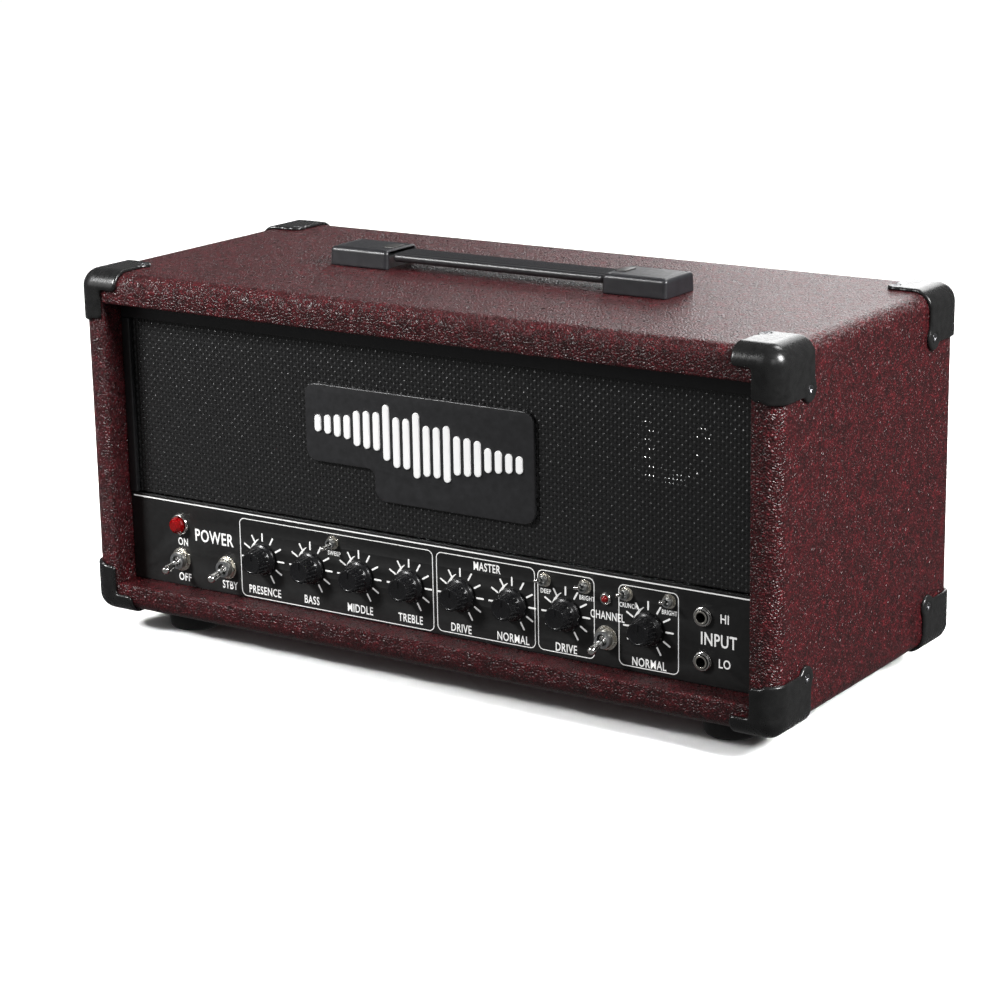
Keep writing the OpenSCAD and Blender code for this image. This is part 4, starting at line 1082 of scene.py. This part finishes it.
iv, faces = inlet()
piece("mains_inlet_body", [(iv + (-190, YR, REAR_Z), faces)], MOULD, nodes=("iec_inlet",), sharp=0)
pins = [rounded_box(-190 + dx - 1, -190 + dx + 1, YR - 15.6, YR + 1.0, REAR_Z + dz - 2.2,
                    REAR_Z + dz + 2.2, 0.4, 2) for dx, dz in ((-7, -2), (0, 2.4), (7, -2))]
piece("mains_pins", pins, NICKEL, sharp=40)
inlet_screw = cross_screw(2.9, 1.2, True, 1.6, 4.0, 0.3)
piece("inlet_screws", [at(inlet_screw, -190 + dx, YR + 5.3, REAR_Z, "rear", turn=t)
                       for dx, t in ((-20, 12), (20, 50))],
      SCREW, sharp=45)


def grip(a, r, z):
    """Radius rule for the fuse cap's ribs."""
    if r > 6.0 and z > 2.9:
        return r - 0.35 * (0.5 + 0.5 * np.cos(a * 16))
    return np.full(len(a), float(r))


fh = lathe(soft([(0, -33.5), (5.8, -33.5, 0.4), (5.8, 0.02, 0.1), (7.9, 0.02, 0.2), (7.9, 2.4, 0.6),
                 (6.4, 2.6, 0.2), (6.35, 7.4, 0.7), (4.6, 7.45, 0.2), (0, 7.2)], seg=4), 128, grip)
slot_bar = rounded_box(-3.6, 3.6, -0.6, 0.6, 7.1, 7.46, 0.15, 2)
piece("fuse_cap", [at(fh, -140, YR + 2.0, REAR_Z, "rear"),
                   at(slot_bar, -140, YR + 2.0, REAR_Z, "rear", turn=30)],
      MOULD, nodes=("fuse_holder",), sharp=38)

s1 = cross_screw(3.95, 1.8, True, 1.75, 6.0, 0.32)
s2 = cross_screw(2.95, 1.3, True, 1.35, 5.0, 0.28)
parts = []
board_screws = [(x, h) for x in (-259, 259) for h in (100, 160, 220)] + [(-120, 225), (120, 225)]
for k, (x, h) in enumerate(board_screws):
    parts.append(at(s1, x, YR + 6.7, ZB + h, "rear", turn=23 * k))
for k, (x, z) in enumerate(vs):
    parts.append(at(s2, x, YR + 7.7, z, "rear", turn=31 * k + 9))
piece("rear_screw_heads", parts, STEEL, nodes=("back_panel_screws",), sharp=45)

# ---------------------------------------------------------------- valves and inner parts

CH1 = ZB + 85.0
PT, PR = [(-30, 60), (14, 60), (58, 60), (102, 60)], [(-110, -40), (-40, -40), (30, -40), (100, -40)]
big_glass = lathe(soft([(0, 14), (14.0, 14, 1), (14.4, 20, 2), (14.4, 70, 6), (11.0, 82, 5), (5.0, 86.5, 3),
                        (2.0, 87.8, 1), (0, 88)], seg=6), 48)
big_base = lathe(soft([(0, 0.05), (16.2, 0.05, 1), (16.4, 3, 1), (16.4, 13.8, 1.2), (0, 13.8)]), 56)
anode = [rounded_box(-10, 10, -4.5, 4.5, 26, 66, 2.5, 3), rounded_box(-2, 2, -8, 8, 30, 62, 1, 2),
         lathe(soft([(0, 68), (11, 68, 0.3), (11, 68.8, 0.3), (0, 68.8)]), 40),
         lathe(soft([(0, 23), (11, 23, 0.3), (11, 23.8, 0.3), (0, 23.8)]), 40)]
small_glass = lathe(soft([(0, 0.05), (9.6, 0.05, 1), (9.9, 2, 1), (9.9, 42, 5), (5.5, 47.2, 2),
                          (1.6, 48.5, 0.8), (1.0, 49.8, 0.5), (0, 49.9)], seg=6), 40)
small_anode = [rounded_box(-6, -0.6, -2.5, 2.5, 12, 36, 1.2, 2),
               rounded_box(0.6, 6, -2.5, 2.5, 12, 36, 1.2, 2),
               lathe(soft([(0, 38), (7.6, 38, 0.2), (7.6, 38.6, 0.2), (0, 38.6)]), 32)]
piece("power_valve_glass", [at(big_glass, x, y, CH1 + 3.6, "up") for x, y in PT], GLASS,
      nodes=("power_tubes",), sharp=50)
piece("power_valve_bases", [at(big_base, x, y, CH1 + 3.6, "up") for x, y in PT], MOULD, sharp=40)
piece("power_valve_anodes", [at(a, x, y, CH1 + 3.6, "up") for x, y in PT for a in anode], ANODE, sharp=40)
piece("preamp_valve_glass", [at(small_glass, x, y, CH1 + 3.6, "up") for x, y in PR], GLASS,
      nodes=("preamp_tubes",), sharp=50)
piece("preamp_valve_anodes", [at(a, x, y, CH1 + 3.6, "up") for x, y in PR for a in small_anode], ANODE,
      sharp=40)


def transformer(w, d, h, x, y):
    """Stack of laminations between pressed end bells, on four flat corner pads."""
    parts = []
    n = 26
    for i in range(n):
        y0 = -d / 2 + d * i / n
        k = 0.0 if i % 2 else 0.25
        parts.append(rounded_box(k - w / 2, w / 2 - k, y0 + 0.02, y0 + d / n - 0.02, 3, 3 + h * 0.8 - k,
                                 0.12, 1))
    for s in (-1, 1):
        parts.append(rounded_box(-w * 0.34, w * 0.34, *sorted((s * d / 2, s * (d / 2 + 15.8))), h * 0.2,
                                 h * 0.7, 6, 5))
    for sx in (-1, 1):
        for sy in (-1, 1):
            parts.append(rounded_box(*sorted((sx * w / 2, sx * (w / 2 - 14))),
                                     *sorted((sy * d / 2, sy * (d / 2 - 14))), 0.05, 3.1, 0.5, 2))
    return [at(p, x, y, CH1, "up") for p in parts]


piece("power_transformer_stack", transformer(96, 60, 88, -202, 30), CORE, nodes=("power_transformer",),
      sharp=40)
piece("output_transformer_stack", transformer(84, 52, 76, 196, 30), CORE, nodes=("output_transformer",),
      sharp=40)
can = lathe(soft([(0, 0.05), (17.2, 0.05, 0.6), (17.4, 2, 0.4), (17.4, 46, 0.6), (16.7, 47.5, 0.5),
                  (17.2, 49.8, 0.6), (15.8, 50.2, 0.4), (15.4, 51.3, 0.3), (0, 51.3)]), 64)
piece("capacitor_cans", [at(can, x, 60, CH1, "up") for x in (-128, -88)], SLEEVE,
      nodes=("filter_capacitors",), sharp=35)

# ---------------------------------------------------------------- CAD nodes that stay

# these keep their CAD shape and only get a material
KEPT = dict(top_board=PLY_X, bottom_board=PLY_X, left_side_board=PLY_Z, right_side_board=PLY_Z,
            battens=PINE, base_fasteners=STEEL, handle_anchors=STEEL, handle_bolts=STEEL,
            baffle_board=BAFFLE, chassis=STEEL, pot_bodies=STEEL, toggle_bodies=STEEL,
            mini_toggle_bodies=STEEL, jack_bodies=BORE, tube_sockets=CERAMIC, circuit_board=BOARD)
for nm, m in KEPT.items():
    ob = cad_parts[nm]
    for sl in ob.material_slots:
        sl.material = m
    if not ob.material_slots:
        ob.data.materials.append(m)

# ---------------------------------------------------------------- stage, light, camera


def stage_floor():
    """Wide pale floor that runs on past the top of the view."""
    a = np.linspace(-30000, 30000, 31)
    X, Y = np.meshgrid(a, a, indexing="ij")
    return grid(np.stack([X, Y, np.full_like(X, -0.5)], -1))


FLOOR, nt, bs = mat_base("pale_floor")
n1 = noise(nt, coords(nt), 3, 2)
nt.links.new(mixc(nt, n1.outputs[0], (0.90, 0.90, 0.90), (0.93, 0.93, 0.93)), bs.inputs["Base Color"])
bs.inputs["Roughness"].default_value = 0.8
bs.inputs["Specular IOR Level"].default_value = 0.1
st = piece("studio_floor", [stage_floor()], FLOOR, body=None, sharp=0)
BACKDROP, nt, bs = mat_base("pale_backdrop")
nt.links.new(mixc(nt, noise(nt, coords(nt), 2, 2).outputs[0], (0.0, 0.0, 0.0), (0.01, 0.01, 0.01)),
             bs.inputs["Base Color"])
bs.inputs["Emission Color"].default_value = (1, 1, 1, 1)
bs.inputs["Emission Strength"].default_value = 1.0
dome = arc(0, -400, 28000, 0, 90, 9)
backdrop = piece("studio_backdrop", [lathe(dome, 48)], BACKDROP, body=None, sharp=0)
# neither throws light back on the object, so its black parts stay black
st.visible_diffuse = st.visible_glossy = False
backdrop.visible_diffuse = backdrop.visible_glossy = backdrop.visible_shadow = False

world = bpy.data.worlds.new("studio")
bpy.context.scene.world = world
world.use_nodes = True
wn = world.node_tree
wn.nodes["Background"].inputs["Color"].default_value = (1.0, 1.0, 1.0, 1)
wn.nodes["Background"].inputs["Strength"].default_value = 0.13


def area(name, loc, target, size, power, spread=180):
    """Square light at loc, aimed at target, in metres and watts."""
    li = bpy.data.lights.new(name, "AREA")
    li.energy, li.size, li.spread = power, size, math.radians(spread)
    ob = bpy.data.objects.new(name, li)
    bpy.context.scene.collection.objects.link(ob)
    ob.location = loc
    ob.rotation_euler = (Vector(target) - Vector(loc)).to_track_quat("-Z", "Y").to_euler()


area("key", (0.4, 1.4, 2.4), (0.05, 0, 0.2), 0.8, 20)
area("rear", (-0.6, 2.4, 1.0), (0, 0.1, 0.14), 1.2, 16)
area("side", (2.0, -0.2, 1.5), (0.28, 0, 0.14), 0.7, 100)
area("front", (-1.1, -1.3, 1.25), (-0.5, -0.1, 0.2), 0.4, 5.5, spread=60)
area("card_left", (-2.0, -1.7, 0.9), (0, 0, 0.1), 1.0, 4.0)
area("card_right", (1.9, -2.2, 1.6), (0, 0, 0.1), 1.0, 7.0)
li = bpy.data.lights.new("floor_wash", "SUN")
li.energy, li.angle = 3.4, math.radians(58)
wash = bpy.data.objects.new("floor_wash", li)
bpy.context.scene.collection.objects.link(wash)
wash.rotation_euler = Vector((-0.12, -0.34, -1)).to_track_quat("-Z", "Y").to_euler()
only = bpy.data.collections.new("floor_only")
only.objects.link(st)
wash.light_linking.receiver_collection = only

cam = bpy.data.cameras.new("camera")
cam.sensor_width, cam.lens = 36.0, 99.337
cam.clip_start, cam.clip_end = 0.05, 100
co = bpy.data.objects.new("camera", cam)
bpy.context.scene.collection.objects.link(co)
co.location = (1.06493, -1.58976, 0.62386)
co.rotation_euler = [math.radians(a) for a in (74.9059, 0.9725, 33.7803)]
bpy.context.scene.camera = co
bpy.context.scene.view_settings.view_transform = "Standard"
